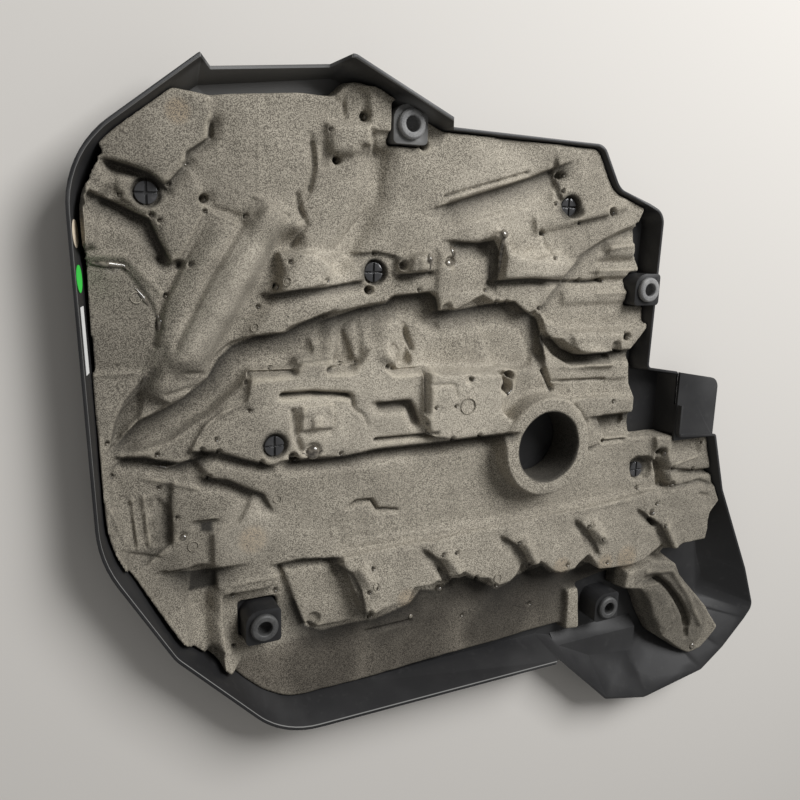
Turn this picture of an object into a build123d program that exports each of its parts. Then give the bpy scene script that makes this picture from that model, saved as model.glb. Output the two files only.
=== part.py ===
from build123d import *
import math
import os

# Engine cover lying on its outer face, foam side up. Millimetres, +Z towards the engine.

# How far a cutting tool runs past the face it opens
OVER = 1.0

# Shell sizes
PANEL = 3.0
WALL = 2.5
RIM_TALL = 48.0
RIM_WING = 38.0
RIM_LOW = 27.5
RIM_SLOPE = 12.0

# Stretches where the rim is lowered: a scallop at the top, the right edge and the wing
SCALLOP_X = (-222.0, -127.0)
SCALLOP_Y = 400.0
RIGHT_START_X = -13.0
WING_START_X = 134.0
WING_END_Y = 138.0

# Side flange beyond the tray wall
FLANGE_TOP = 33.0
FLANGE_THICK = 3.0
FLANGE_CORNER = 12.0
FLANGE_LAP = 6.0
FLANGE_DROP = 10.0

# Step across the apron
STEP_TOP = 14.0
STEP_Y = -120.0
STEP_RUN = 11.0
STEP_FAR = -168.0
STEP_LEFT = 146.0
STEP_RIGHT = 260.0

# Mount towers and their rubber grommets
TOWER_TOP = 30.0
TOWER_WIDTH = 32.0
TOWER_CORNER = 4.0
TOWER_ROUND = 13.0
TOWER_PLATE = 3.0
GROMMET_FLANGE = 25.0
GROMMET_HEAD = 5.0
GROMMET_NECK = 19.0
GROMMET_TAIL = 10.0
TAIL_LIP = 1.5
TAIL_TAPER = 1.0
GROMMET_BORE = 13.0
BALL_POCKET = 15.0
MOUTH_CHAMFER = 0.8
MOUTH_LIFT = 0.2
TOWER_GAP = 1.5

# Push-on foam retainers and the studs that carry them
RETAINER_HEAD = 17.0
RETAINER_THICK = 4.0
RETAINER_SLOT = 1.8
RETAINER_SLOT_DEPTH = 2.2
SLEEVE = 10.0
SLEEVE_LENGTH = 8.0
STUD = 6.0
STUD_GAP = 0.1
RETAINER_BOWL = 22.0

# Stickers on the left skirt
DOT = 20.0
STRIP_LENGTH = 50.0
STRIP_WIDTH = 11.0
STICKER = 0.4
STICKER_GAP = 0.25
STICKER_HEIGHT = 36.0

# Foam levels above the floor
FOAM_GAP = 0.5
STRIP_Z = 11.0
LOWER_LEFT_Z = 16.0
FIELD_Z = 23.0
SHELF_Z = 28.0
CORNER_Z = 35.0
PLATE_Z = 32.0
HIGH_PLATE_Z = 43.0
BLOCK_Z = 30.0
CREASE_Z = 33.0
CREST_Z = 42.0
RING_Z = 47.0
CHANNEL_Z = 9.0
PIT_Z = 7.0
DRAFT = 2.5
RIDGE_FACETS = 6

# Filler opening in the foam
FILLER = (96.5, 112.0)
FILLER_BORE = 69.5
RING_OUTER = 99.0
RING_DRAFT = 3.0

# The relief is drawn as it is seen from one point above the cover: a point of an outline is given
# where its sight line meets the field plane, and seen() carries it along that line to its own height.
SIGHT = (-358.7, 315.8, 648.9)

# Skirt corners, anticlockwise: foot x, foot y, rim x, rim y, rim height there, corner radius
CORNERS = [
    (-311.5, 66.0, -322.5, 62.0, RIM_TALL, 105.0),
    (-260.0, -28.0, -268.0, -34.0, RIM_TALL, 40.0),
    (-172.0, -119.0, -177.0, -130.0, RIM_TALL, 80.0),
    (125.0, -118.5, 130.0, -129.0, RIM_TALL, 10.0),
    (190.0, -132.0, 203.0, -197.0, RIM_WING, 12.0),
    (240.0, -136.5, 262.0, -210.0, RIM_WING, 15.0),
    (300.0, -135.5, 350.0, -195.0, RIM_WING, 12.0),
    (320.0, -132.5, 381.0, -173.0, RIM_WING, 10.0),
    (343.0, -123.0, 414.0, -141.0, RIM_WING, 6.0),
    (368.0, -106.0, 426.0, -126.0, RIM_WING, 14.0),
    (358.0, -58.0, 405.0, -72.0, RIM_WING, 40.0),
    (341.0, 28.0, 352.0, 33.0, RIM_WING, 20.0),
    (326.0, 98.5, 331.0, 102.0, RIM_WING, 5.0),
    (272.0, 101.0, 276.0, 104.0, RIM_LOW, 4.0),
    (272.0, 171.5, 276.0, 174.0, RIM_LOW, 4.0),
    (228.0, 178.0, 233.0, 181.0, RIM_LOW, 4.0),
    (231.0, 336.0, 236.0, 340.0, RIM_LOW, 17.0),
    (213.0, 345.0, 216.0, 348.5, RIM_LOW, 2.0),
    (172.0, 358.0, 176.0, 361.5, RIM_LOW, 20.0),
    (150.0, 398.0, 153.0, 401.5, RIM_LOW, 15.0),
    (-20.0, 402.5, -18.5, 407.5, RIM_TALL, 5.0),
    (-117.0, 440.0, -113.0, 450.0, RIM_TALL, 8.0),
    (-228.0, 424.0, -234.0, 438.0, RIM_TALL, 6.0),
    (-318.7, 357.0, -330.0, 363.6, RIM_TALL, 80.0),
]

# The corners of the skirt that the side flange runs out from
FLANGE_FAR, FLANGE_ROOT, FLANGE_UPPER = CORNERS[12:15]

# Grommet axes, retainer axes with the height of the foam seat under each head
GROMMETS = {
    "top": (-55.5, 404.0),
    "right": (219.5, 263.0),
    "lower_left": (-188.5, -28.5),
    "lower_right": (201.0, -87.0),
}
RETAINERS = [
    (-271.5, 340.0, 20.0),
    (-82.0, 280.5, 13.0),
    (123.0, 342.5, 13.0),
    (-176.5, 135.5, 25.0),
    (238.0, 64.5, 13.0),
]

# Places along the left skirt where the stickers are
GREEN_DOT_Y = 277.0
BEIGE_DOT_Y = 309.0
STRIP_Y = 232.0

# Coil row: how soon a facet reaches its full rise, and the share of it left at the facet's right end
FACET_STEEP = 1.4
FACET_LEAST = 0.25


def signed_area(points):
    pairs = zip(points, points[1:] + points[:1])
    return sum(a[0] * b[1] - b[0] * a[1] for a, b in pairs) / 2


def grown(points, distance):
    """A polygon with every side moved outwards by the distance, inwards where it is negative."""
    turn = 1 if signed_area(points) > 0 else -1
    result = []
    for i, (x, y) in enumerate(points):
        x0, y0 = points[i - 1]
        x1, y1 = points[(i + 1) % len(points)]
        before = math.hypot(x - x0, y - y0)
        after = math.hypot(x1 - x, y1 - y)
        nx0, ny0 = turn * (y - y0) / before, -turn * (x - x0) / before
        nx1, ny1 = turn * (y1 - y) / after, -turn * (x1 - x) / after
        share = distance / (1 + nx0 * nx1 + ny0 * ny1)
        result.append((x + (nx0 + nx1) * share, y + (ny0 + ny1) * share))
    return result


def solid_of(loops):
    faces = [Face(Wire.make_polygon([Vector(*p) for p in loop], close=True)) for loop in loops]
    return Solid(Shell(faces))


def between(lower, upper):
    """The solid between two closed rings of points that have the same number of corners."""
    count = len(lower)
    sides = []
    for i in range(count):
        j = (i + 1) % count
        sides.append([lower[i], lower[j], upper[j], upper[i]])
    return solid_of([lower, upper] + sides)


def seen(x, y, z):
    reach = (SIGHT[2] - z) / (SIGHT[2] - FIELD_Z)
    return (SIGHT[0] + (x - SIGHT[0]) * reach, SIGHT[1] + (y - SIGHT[1]) * reach)


def level(points, z):
    return [(x, y, z) for x, y in points]


def mesa(points, top, draft=DRAFT):
    """Foam that stands up to a flat top with the given outline and leans out towards its foot."""
    edge = [seen(x, y, top) for x, y in points]
    return between(level(grown(edge, draft), PANEL), level(edge, top))


def pit(points, floor, rim=FIELD_Z, draft=DRAFT):
    """A hollow with the given outline at its rim, drawn in towards its floor and open above."""
    edge = [seen(x, y, rim) for x, y in points]
    lift = RIM_TALL - rim
    wide = grown(edge, draft * lift / (rim - floor))
    return between(level(grown(edge, -draft), floor), level(wide, rim + lift))


def facet(points):
    """Foam under a faceted top: each corner has its own height, and the faces meet in the middle."""
    edge = [(*seen(x, y, z), z) for x, y, z in points]
    foot = [(x, y, PANEL) for x, y, z in edge]
    count = len(edge)
    middle = tuple(sum(p[k] for p in edge) / count for k in range(3))
    loops = [foot]
    for i in range(count):
        j = (i + 1) % count
        loops.append([foot[i], foot[j], edge[j], edge[i]])
        loops.append([edge[i], edge[j], middle])
    return solid_of(loops)


def along(path, profile, z):
    """A bar that follows a bent path, with its section as (side, height) pairs from left to right."""
    line = [seen(x, y, z) for x, y in path]
    rings = []
    for i, (x, y) in enumerate(line):
        x0, y0 = line[max(i - 1, 0)]
        x1, y1 = line[min(i + 1, len(line) - 1)]
        before = Vector(x - x0, y - y0)
        after = Vector(x1 - x, y1 - y)
        before = after.normalized() if before.length == 0 else before.normalized()
        after = before if after.length == 0 else after.normalized()
        across = Vector(before.Y + after.Y, -before.X - after.X)
        across = across / (1 + before.dot(after))
        rings.append([(x + across.X * s, y + across.Y * s, h) for s, h in profile])
    loops = [rings[0], rings[-1]]
    for a, b in zip(rings, rings[1:]):
        for k in range(len(profile)):
            m = (k + 1) % len(profile)
            loops.append([a[k], a[m], b[m], b[k]])
    return solid_of(loops)


def ridge(path, width, top, crown=0.25):
    """A round-backed bar of foam; the crown is the rise of its back as a share of its width."""
    angles = [math.pi * k / RIDGE_FACETS for k in range(RIDGE_FACETS + 1)]
    back = [(width / 2 * math.cos(a), top - width * crown * (1 - math.sin(a))) for a in angles]
    return along(path, [(-width / 2, PANEL), (width / 2, PANEL)] + back, top)


def groove(path, width, floor, rim=FIELD_Z, flat=0.4):
    high = rim + width / 2
    spread = width / 2 * (1 + (1 - flat) * (high - rim) / (rim - floor))
    profile = [(-width * flat / 2, floor), (width * flat / 2, floor), (spread, high), (-spread, high)]
    return along(path, profile, rim)


def hole(x, y, diameter, floor, rim=FIELD_Z):
    at = seen(x, y, rim)
    return Pos(*at, floor) * Cylinder(
        diameter / 2, RIM_TALL - floor, align=(Align.CENTER, Align.CENTER, Align.MIN)
    )


def skirt_ring(z, inset):
    """The skirt's outline at one height, as a face, drawn in by the inset."""
    points = []
    for foot_x, foot_y, rim_x, rim_y, rim_z, _ in CORNERS:
        share = z / rim_z
        points.append((foot_x + (rim_x - foot_x) * share, foot_y + (rim_y - foot_y) * share))
    moved = grown(points, -inset)
    radii = []
    for i, corner in enumerate(CORNERS):
        x0, y0 = points[i - 1]
        x, y = points[i]
        x1, y1 = points[(i + 1) % len(points)]
        convex = (x - x0) * (y1 - y) - (y - y0) * (x1 - x) > 0
        radii.append(max(corner[5] - inset, corner[5] / 2) if convex else corner[5] + inset)
    wire = FilletPolyline(*[(x, y, z) for x, y in moved], radius=radii, close=True)
    return Face(Wire(wire.edges()))


def tray(inset, bottom, top):
    return loft([skirt_ring(bottom, inset), skirt_ring(top, inset)], ruled=True)


def rim_cut(x0, x1, y0, y1, height):
    """Lowers the rim between two places along X, with a slope at each end."""
    high = RIM_TALL + OVER
    outline = [(x0 - RIM_SLOPE, high), (x0, height), (x1, height), (x1 + RIM_SLOPE, high)]
    face = Face(Wire.make_polygon([Vector(x, y0, z) for x, z in outline], close=True))
    return Solid.extrude(face, Vector(0, y1 - y0, 0))


def tower_outline(inset):
    """A square with one large round corner, drawn in by the inset."""
    square = Rectangle(TOWER_WIDTH - 2 * inset, TOWER_WIDTH - 2 * inset)
    corners = square.vertices().sort_by(lambda corner: corner.X - corner.Y)
    square = fillet(corners[1:], TOWER_CORNER - inset)
    big = square.vertices().sort_by(lambda corner: corner.X - corner.Y)[0]
    return fillet(big, TOWER_ROUND - inset)


def tower(x, y):
    """A hollow post closed by a plate that carries one grommet."""
    block = Pos(x, y, PANEL / 2) * extrude(tower_outline(0.0), TOWER_TOP - PANEL / 2)
    hollow = Pos(x, y, PANEL) * extrude(tower_outline(WALL), TOWER_TOP - TOWER_PLATE - PANEL)
    seat = Pos(x, y, PANEL) * Cylinder(
        GROMMET_NECK / 2, TOWER_TOP, align=(Align.CENTER, Align.CENTER, Align.MIN)
    )
    return block, [hollow, seat]


def stud(x, y, seat):
    height = seat - PANEL / 2 - STUD_GAP
    return Pos(x, y, PANEL / 2) * Cylinder(STUD / 2, height, align=(Align.CENTER, Align.CENTER, Align.MIN))


def apron_step():
    """The raised step across the apron, with a steep lit face towards the tray."""
    root = PANEL / 2
    section = [(STEP_Y, root), (STEP_Y, PANEL), (STEP_Y - STEP_RUN, STEP_TOP)]
    section += [(STEP_FAR, STEP_TOP), (STEP_FAR, root)]
    face = Face(Wire.make_polygon([Vector(STEP_LEFT, y, z) for y, z in section], close=True))
    return Solid.extrude(face, Vector(STEP_RIGHT - STEP_LEFT, 0, 0)) & tray(WALL / 2, root, RIM_TALL)


def side_flange():
    """The plate that runs out from the top of the tray's side wall."""
    root_x = FLANGE_ROOT[2] - WALL
    low_y = FLANGE_ROOT[3] - FLANGE_LAP
    far_x = FLANGE_FAR[2]
    high_y = FLANGE_UPPER[3]
    outline = FilletPolyline(
        (root_x, low_y),
        (far_x, low_y),
        (far_x, high_y - FLANGE_DROP),
        (root_x, high_y),
        radius=[0, 0, FLANGE_CORNER, 0],
        close=True,
    )
    plate = extrude(Face(Wire(outline.edges())), FLANGE_THICK)
    return Pos(0, 0, FLANGE_TOP - FLANGE_THICK) * plate


def cover_shell():
    """The moulded cover: outer panel, flared skirt, apron, side flange, mount towers and studs."""
    body = tray(0.0, 0.0, RIM_TALL) - tray(WALL, PANEL, RIM_TALL + OVER)
    outline = skirt_ring(RIM_TALL + OVER, 0.0).bounding_box()
    top_y = outline.max.Y + OVER
    low_y = outline.min.Y - OVER
    right_x = outline.max.X + OVER
    scallop = rim_cut(*SCALLOP_X, SCALLOP_Y, top_y, RIM_LOW)
    right = rim_cut(RIGHT_START_X, right_x, WING_END_Y, top_y, RIM_LOW)
    wing = rim_cut(WING_START_X, right_x, low_y, WING_END_Y, RIM_WING)
    body = body - [scallop, right, wing]
    posts = []
    openings = []
    for x, y in GROMMETS.values():
        block, hollows = tower(x, y)
        posts.append(block)
        openings += hollows
    posts += [stud(*place) for place in RETAINERS]
    body = body + posts + [side_flange(), apron_step()]
    return body - openings


def grommet(x, y):
    """A rubber bush snapped into a tower plate: flanged head, neck, tail and a pocket for a ball stud."""
    head_top = TOWER_TOP + GROMMET_HEAD
    tail_low = TOWER_TOP - TOWER_PLATE - GROMMET_TAIL
    bore = GROMMET_BORE / 2
    neck = GROMMET_NECK / 2
    flange = GROMMET_FLANGE / 2
    under = TOWER_TOP - TOWER_PLATE
    mouth_z = TOWER_TOP + MOUTH_LIFT
    pocket_z = mouth_z - math.sqrt((BALL_POCKET / 2) ** 2 - bore**2)
    profile = [
        (0, tail_low),
        (neck - TAIL_TAPER, tail_low),
        (neck + TAIL_LIP, under),
        (neck, under),
        (neck, TOWER_TOP),
        (flange, TOWER_TOP),
        (flange, head_top - 2 * MOUTH_CHAMFER),
        (flange - 2 * MOUTH_CHAMFER, head_top),
        (0, head_top),
    ]
    body = revolve(make_face(Polyline(*[(r, 0, z) for r, z in profile], close=True)), Axis.Z)
    mouth = Pos(0, 0, mouth_z) * Cylinder(
        bore, head_top, align=(Align.CENTER, Align.CENTER, Align.MIN)
    )
    lead = Pos(0, 0, head_top - MOUTH_CHAMFER) * Cone(
        bore, bore + MOUTH_CHAMFER, MOUTH_CHAMFER, align=(Align.CENTER, Align.CENTER, Align.MIN)
    )
    pocket = Pos(0, 0, pocket_z) * Sphere(BALL_POCKET / 2)
    return Pos(x, y, 0) * (body - mouth - lead - pocket)


def retainer(x, y, seat):
    """A round head with a cross slot and a sleeve pushed over one stud."""
    lowest = (Align.CENTER, Align.CENTER, Align.MIN)
    head = Pos(0, 0, seat) * Cylinder(RETAINER_HEAD / 2, RETAINER_THICK, align=lowest)
    sleeve_foot = max(seat - SLEEVE_LENGTH, PANEL)
    sleeve = Pos(0, 0, sleeve_foot) * Cylinder(SLEEVE / 2, seat - sleeve_foot, align=lowest)
    core = Cylinder(STUD / 2 + STUD_GAP, seat, align=lowest)
    slot_z = seat + RETAINER_THICK - RETAINER_SLOT_DEPTH
    slots = [
        Pos(0, 0, slot_z) * Box(*size, RETAINER_THICK, align=lowest)
        for size in [(RETAINER_HEAD, RETAINER_SLOT), (RETAINER_SLOT, RETAINER_HEAD)]
    ]
    return Pos(x, y, 0) * (head + sleeve - core - slots)


def skirt_place(y, height):
    """A frame on the inner face of the left skirt, with its Z away from the wall."""
    first, last = CORNERS[0], CORNERS[-1]
    share = height / RIM_TALL
    low_x = first[0] + (first[2] - first[0]) * share
    low_y = first[1] + (first[3] - first[1]) * share
    high_x = last[0] + (last[2] - last[0]) * share
    high_y = last[1] + (last[3] - last[1]) * share
    run = Vector(high_x - low_x, high_y - low_y, 0).normalized()
    rise = Vector(first[2] - first[0], first[3] - first[1], RIM_TALL)
    inward = run.cross(rise).normalized()
    flat_in = Vector(run.Y, -run.X, 0)
    start = Vector(low_x, low_y, height) + flat_in * WALL
    origin = start + run * ((y - low_y) / run.Y) + inward * STICKER_GAP
    return Plane(origin=origin, x_dir=run, z_dir=inward)


def sticker(outline, y):
    plane = skirt_place(y, STICKER_HEIGHT)
    return plane * extrude(outline, STICKER)


def foam_mass():
    """The foam's slabs, plateaus, blocks and ridges."""
    top_edge = [
        (190, 460), (-60, 460), (-68, 436), (-108, 433), (-121, 421), (-150, 421.5), (-206, 415.5),
        (-221, 413), (-262, 418), (-345, 418),
    ]
    outline = top_edge + [
        (-345, 30), (-300, -70), (-246, -71), (-231, -73), (-223, -65), (-205, -82), (-190, -97),
        (-175, -105), (-160, -109), (-110, -109.5), (-48, -106), (60, -101), (146, -97), (150, -55),
        (330, -30), (335, 96), (216, 104), (220, 140), (210, 165), (210, 198), (230, 228), (205, 255),
        (212, 285), (200, 302), (205, 325), (214, 349),
    ]
    field = top_edge + [
        (-345, 30), (-300, -70), (-246, -71), (-231, -73), (-223, -62), (-222, 3), (-172, 5),
        (-172, 26), (-116, 22), (-100, -20), (335, -25), (340, 30), (345, 70), (343, 98), (285, 100),
        (250, 103), (216, 104), (216, 116), (221, 134), (221, 149), (211, 165), (210, 196), (212, 202),
        (239, 233), (234, 240), (222, 250), (209, 258), (218, 272), (217, 284), (211, 296), (202, 302),
        (204, 318), (207, 328), (212, 338), (216, 349),
    ]
    corner = [
        (-345, 418), (-345, 366), (-300, 364), (-283, 361), (-268, 356), (-256, 347), (-242, 362),
        (-241, 370), (-224, 382), (-221, 392), (-221, 413), (-262, 418),
    ]
    clip_shelf = [
        (-293, 352), (-290, 334), (-277, 326), (-268, 316), (-264, 303), (-258, 290), (-249, 284),
        (-224, 326), (-230, 345), (-241, 364), (-256, 352),
    ]
    corner_block = [(-127, 402), (-127, 382), (-118, 376), (-88, 378), (-88, 402)]
    tower_side = [(-99, 432), (-98, 405), (-86, 398), (-68, 398), (-62, 434)]
    raised_pad = [(-167, 297), (-165, 280), (-172, 265), (-150, 267), (-127, 272), (-125, 285), (-123, 297)]
    nub = [(-57, 292), (-58, 283), (-50, 279), (-31, 281), (-28, 296), (-33, 298)]
    column = [(-20, 300), (-21, 246), (-3, 246), (-2, 300), (-8, 306)]
    tongue = [
        (36, 311), (42, 300), (40, 277), (45, 272), (112, 274), (119, 280), (130, 290), (116, 298),
        (100, 296), (85, 292), (62, 297), (54, 303), (53, 313), (45, 319),
    ]
    ledge = [(104, 188), (112, 171), (208, 171), (208, 190)]
    lit_block = [(112, 216), (130, 207), (144, 199), (186, 200), (204, 199), (202, 220), (130, 221)]
    side_block = [
        (120, 152), (140, 100), (166, 98), (187, 102), (180, 127), (182, 132), (218, 131), (221, 136),
        (221, 148), (190, 152),
    ]
    plate = [
        (-245, 136), (-238, 133), (-200, 122), (-183, 117), (-133, 117), (-78, 120), (-20, 122),
        (-20, 188), (-30, 192), (-62, 190), (-64, 202), (-71, 214), (-85, 213), (-99, 198), (-119, 196),
        (-121, 206), (-152, 204), (-155, 196), (-193, 195), (-197, 173), (-217, 168), (-232, 157),
    ]
    high_plate = [
        (-28, 190), (-28, 150), (-22, 128), (0, 123), (67, 123), (69, 133), (54, 148), (56, 157), (69, 163),
        (67, 187),
    ]
    terrace = [(-241, 129), (-231, 113), (-200, 103), (-182, 91), (-176, 100), (-184, 118)]
    lobe = [(-297, 141), (-272, 132), (-255, 127), (-240, 130), (-232, 155), (-262, 158)]
    side_lobe = [
        (262, 80), (278, 66), (282, 45), (293, 38), (340, 36), (362, 32), (366, 44), (358, 50), (362, 60),
        (351, 84), (346, 98), (258, 101),
    ]
    post = [(151, -61), (153, -108), (170, -109), (165, -61)]
    spout = [
        (250, -54), (272, -48), (306, -56), (315, -72), (330, -88), (346, -104), (362, -120), (372, -135),
        (387, -153), (376, -165), (363, -177), (345, -181), (330, -173), (297, -148), (280, -120),
        (270, -98), (258, -80), (232, -74), (234, -55),
    ]
    boss = [(232, -54), (230, -74), (256, -80), (262, -60)]
    slabs = [
        mesa(outline, STRIP_Z, draft=0.5),
        mesa(field, FIELD_Z),
        mesa(corner, CORNER_Z, draft=4.0),
        mesa(clip_shelf, SHELF_Z),
        mesa(corner_block, SHELF_Z),
        mesa(tower_side, SHELF_Z + 1.5),
        mesa(raised_pad, BLOCK_Z),
        mesa(nub, BLOCK_Z + 5.0),
        mesa(column, SHELF_Z - 1.0),
        mesa(tongue, BLOCK_Z + 4.0),
        mesa(ledge, FIELD_Z + 3.0),
        mesa(lit_block, BLOCK_Z - 1.0),
        mesa(side_block, BLOCK_Z + 1.0),
        mesa(plate, PLATE_Z),
        mesa(high_plate, HIGH_PLATE_Z),
        mesa(terrace, FIELD_Z + 2.0),
        mesa(lobe, FIELD_Z + 1.0),
        mesa(side_lobe, BLOCK_Z),
        mesa(post, STRIP_Z + 9.0),
        mesa(spout, BLOCK_Z + 4.0, draft=4.0),
        mesa(boss, STRIP_Z + 8.0),
    ]
    ridges = [
        ridge([(-213, 318), (-250, 255), (-262, 226)], 36.0, FIELD_Z + 2.0),
        ridge([(-177, 333), (-222, 255), (-248, 205), (-262, 178)], 40.0, FIELD_Z + 8.0),
        ridge([(82, 325), (173, 341)], 17.0, FIELD_Z + 5.0),
        ridge([(-165, 312), (-146, 326)], 12.0, FIELD_Z + 3.0),
    ]
    return slabs + ridges


def coil_row():
    """Saw-tooth facets over the coil row, each with a finger beside its step, and the sunken first one."""
    tops = [
        [
            (-112, 20), (-104, 0), (-92, -28), (-89, -42), (-42, -38), (-36, -24), (-19, -24), (-2, -24),
            (-19, 8), (-22, 24),
        ],
        [
            (-20, 22), (-16, 6), (3, -20), (18, -16), (32, -26), (50, -29), (57, -40), (76, -38), (92, -22),
            (68, 10), (66, 27),
        ],
        [
            (67, 27), (72, 8), (96, -24), (112, -20), (130, -35), (141, -39), (160, -38), (164, -33),
            (182, -22), (160, 12), (158, 31),
        ],
        [
            (158, 31), (166, 10), (186, -34), (194, -45), (230, -47), (256, -44), (272, -35), (286, -30),
            (262, 2), (248, 36),
        ],
        [
            (248, 38), (256, 12), (285, -10), (306, -38), (318, -33), (350, -33), (353, 0), (367, 14),
            (362, 33), (290, 36),
        ],
    ]
    blocks = []
    for outline in tops:
        left = min(x for x, y in outline)
        right = max(x for x, y in outline)
        top = max(y for x, y in outline)
        low = min(y for x, y in outline)
        corners = []
        for x, y in outline:
            down = (top - y) / (top - low)
            across = (x - left) / (right - left)
            rise = (CREST_Z - CREASE_Z) * (1 - (1 - FACET_LEAST) * across)
            corners.append((x, y, CREASE_Z + rise * min(1.0, FACET_STEEP * down)))
        blocks.append(facet(corners))
    foot = CREASE_Z - 9.5
    slope = facet(
        [
            (-122, 28, foot), (-112, 12, CREASE_Z - 1.0), (-20, 8, CREASE_Z), (120, 12, CREASE_Z),
            (268, 20, CREASE_Z), (268, 44, foot), (150, 40, foot), (0, 36, foot),
        ]
    )
    fingers = [
        ridge([(-93, 8), (-82, -18), (-80, -44)], 14.0, CREST_Z - 3.0),
        ridge([(-1, 5), (12, -17)], 15.0, CREST_Z - 2.0),
        ridge([(91, 5), (105, -22)], 15.0, CREST_Z - 1.0),
        ridge([(178, 8), (196, -10)], 15.0, CREST_Z - 1.0),
        ridge([(284, -5), (304, -36)], 16.0, CREST_Z - 1.0),
    ]
    sunken = facet(
        [
            (-172, 30, FIELD_Z - 6.0), (-160, -6, FIELD_Z - 6.0), (-150, -36, FIELD_Z - 5.0),
            (-136, -43, FIELD_Z - 4.0), (-80, -43, FIELD_Z - 4.0), (-95, 28, FIELD_Z - 6.0),
        ]
    )
    return blocks + [slope, sunken] + fingers


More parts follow.
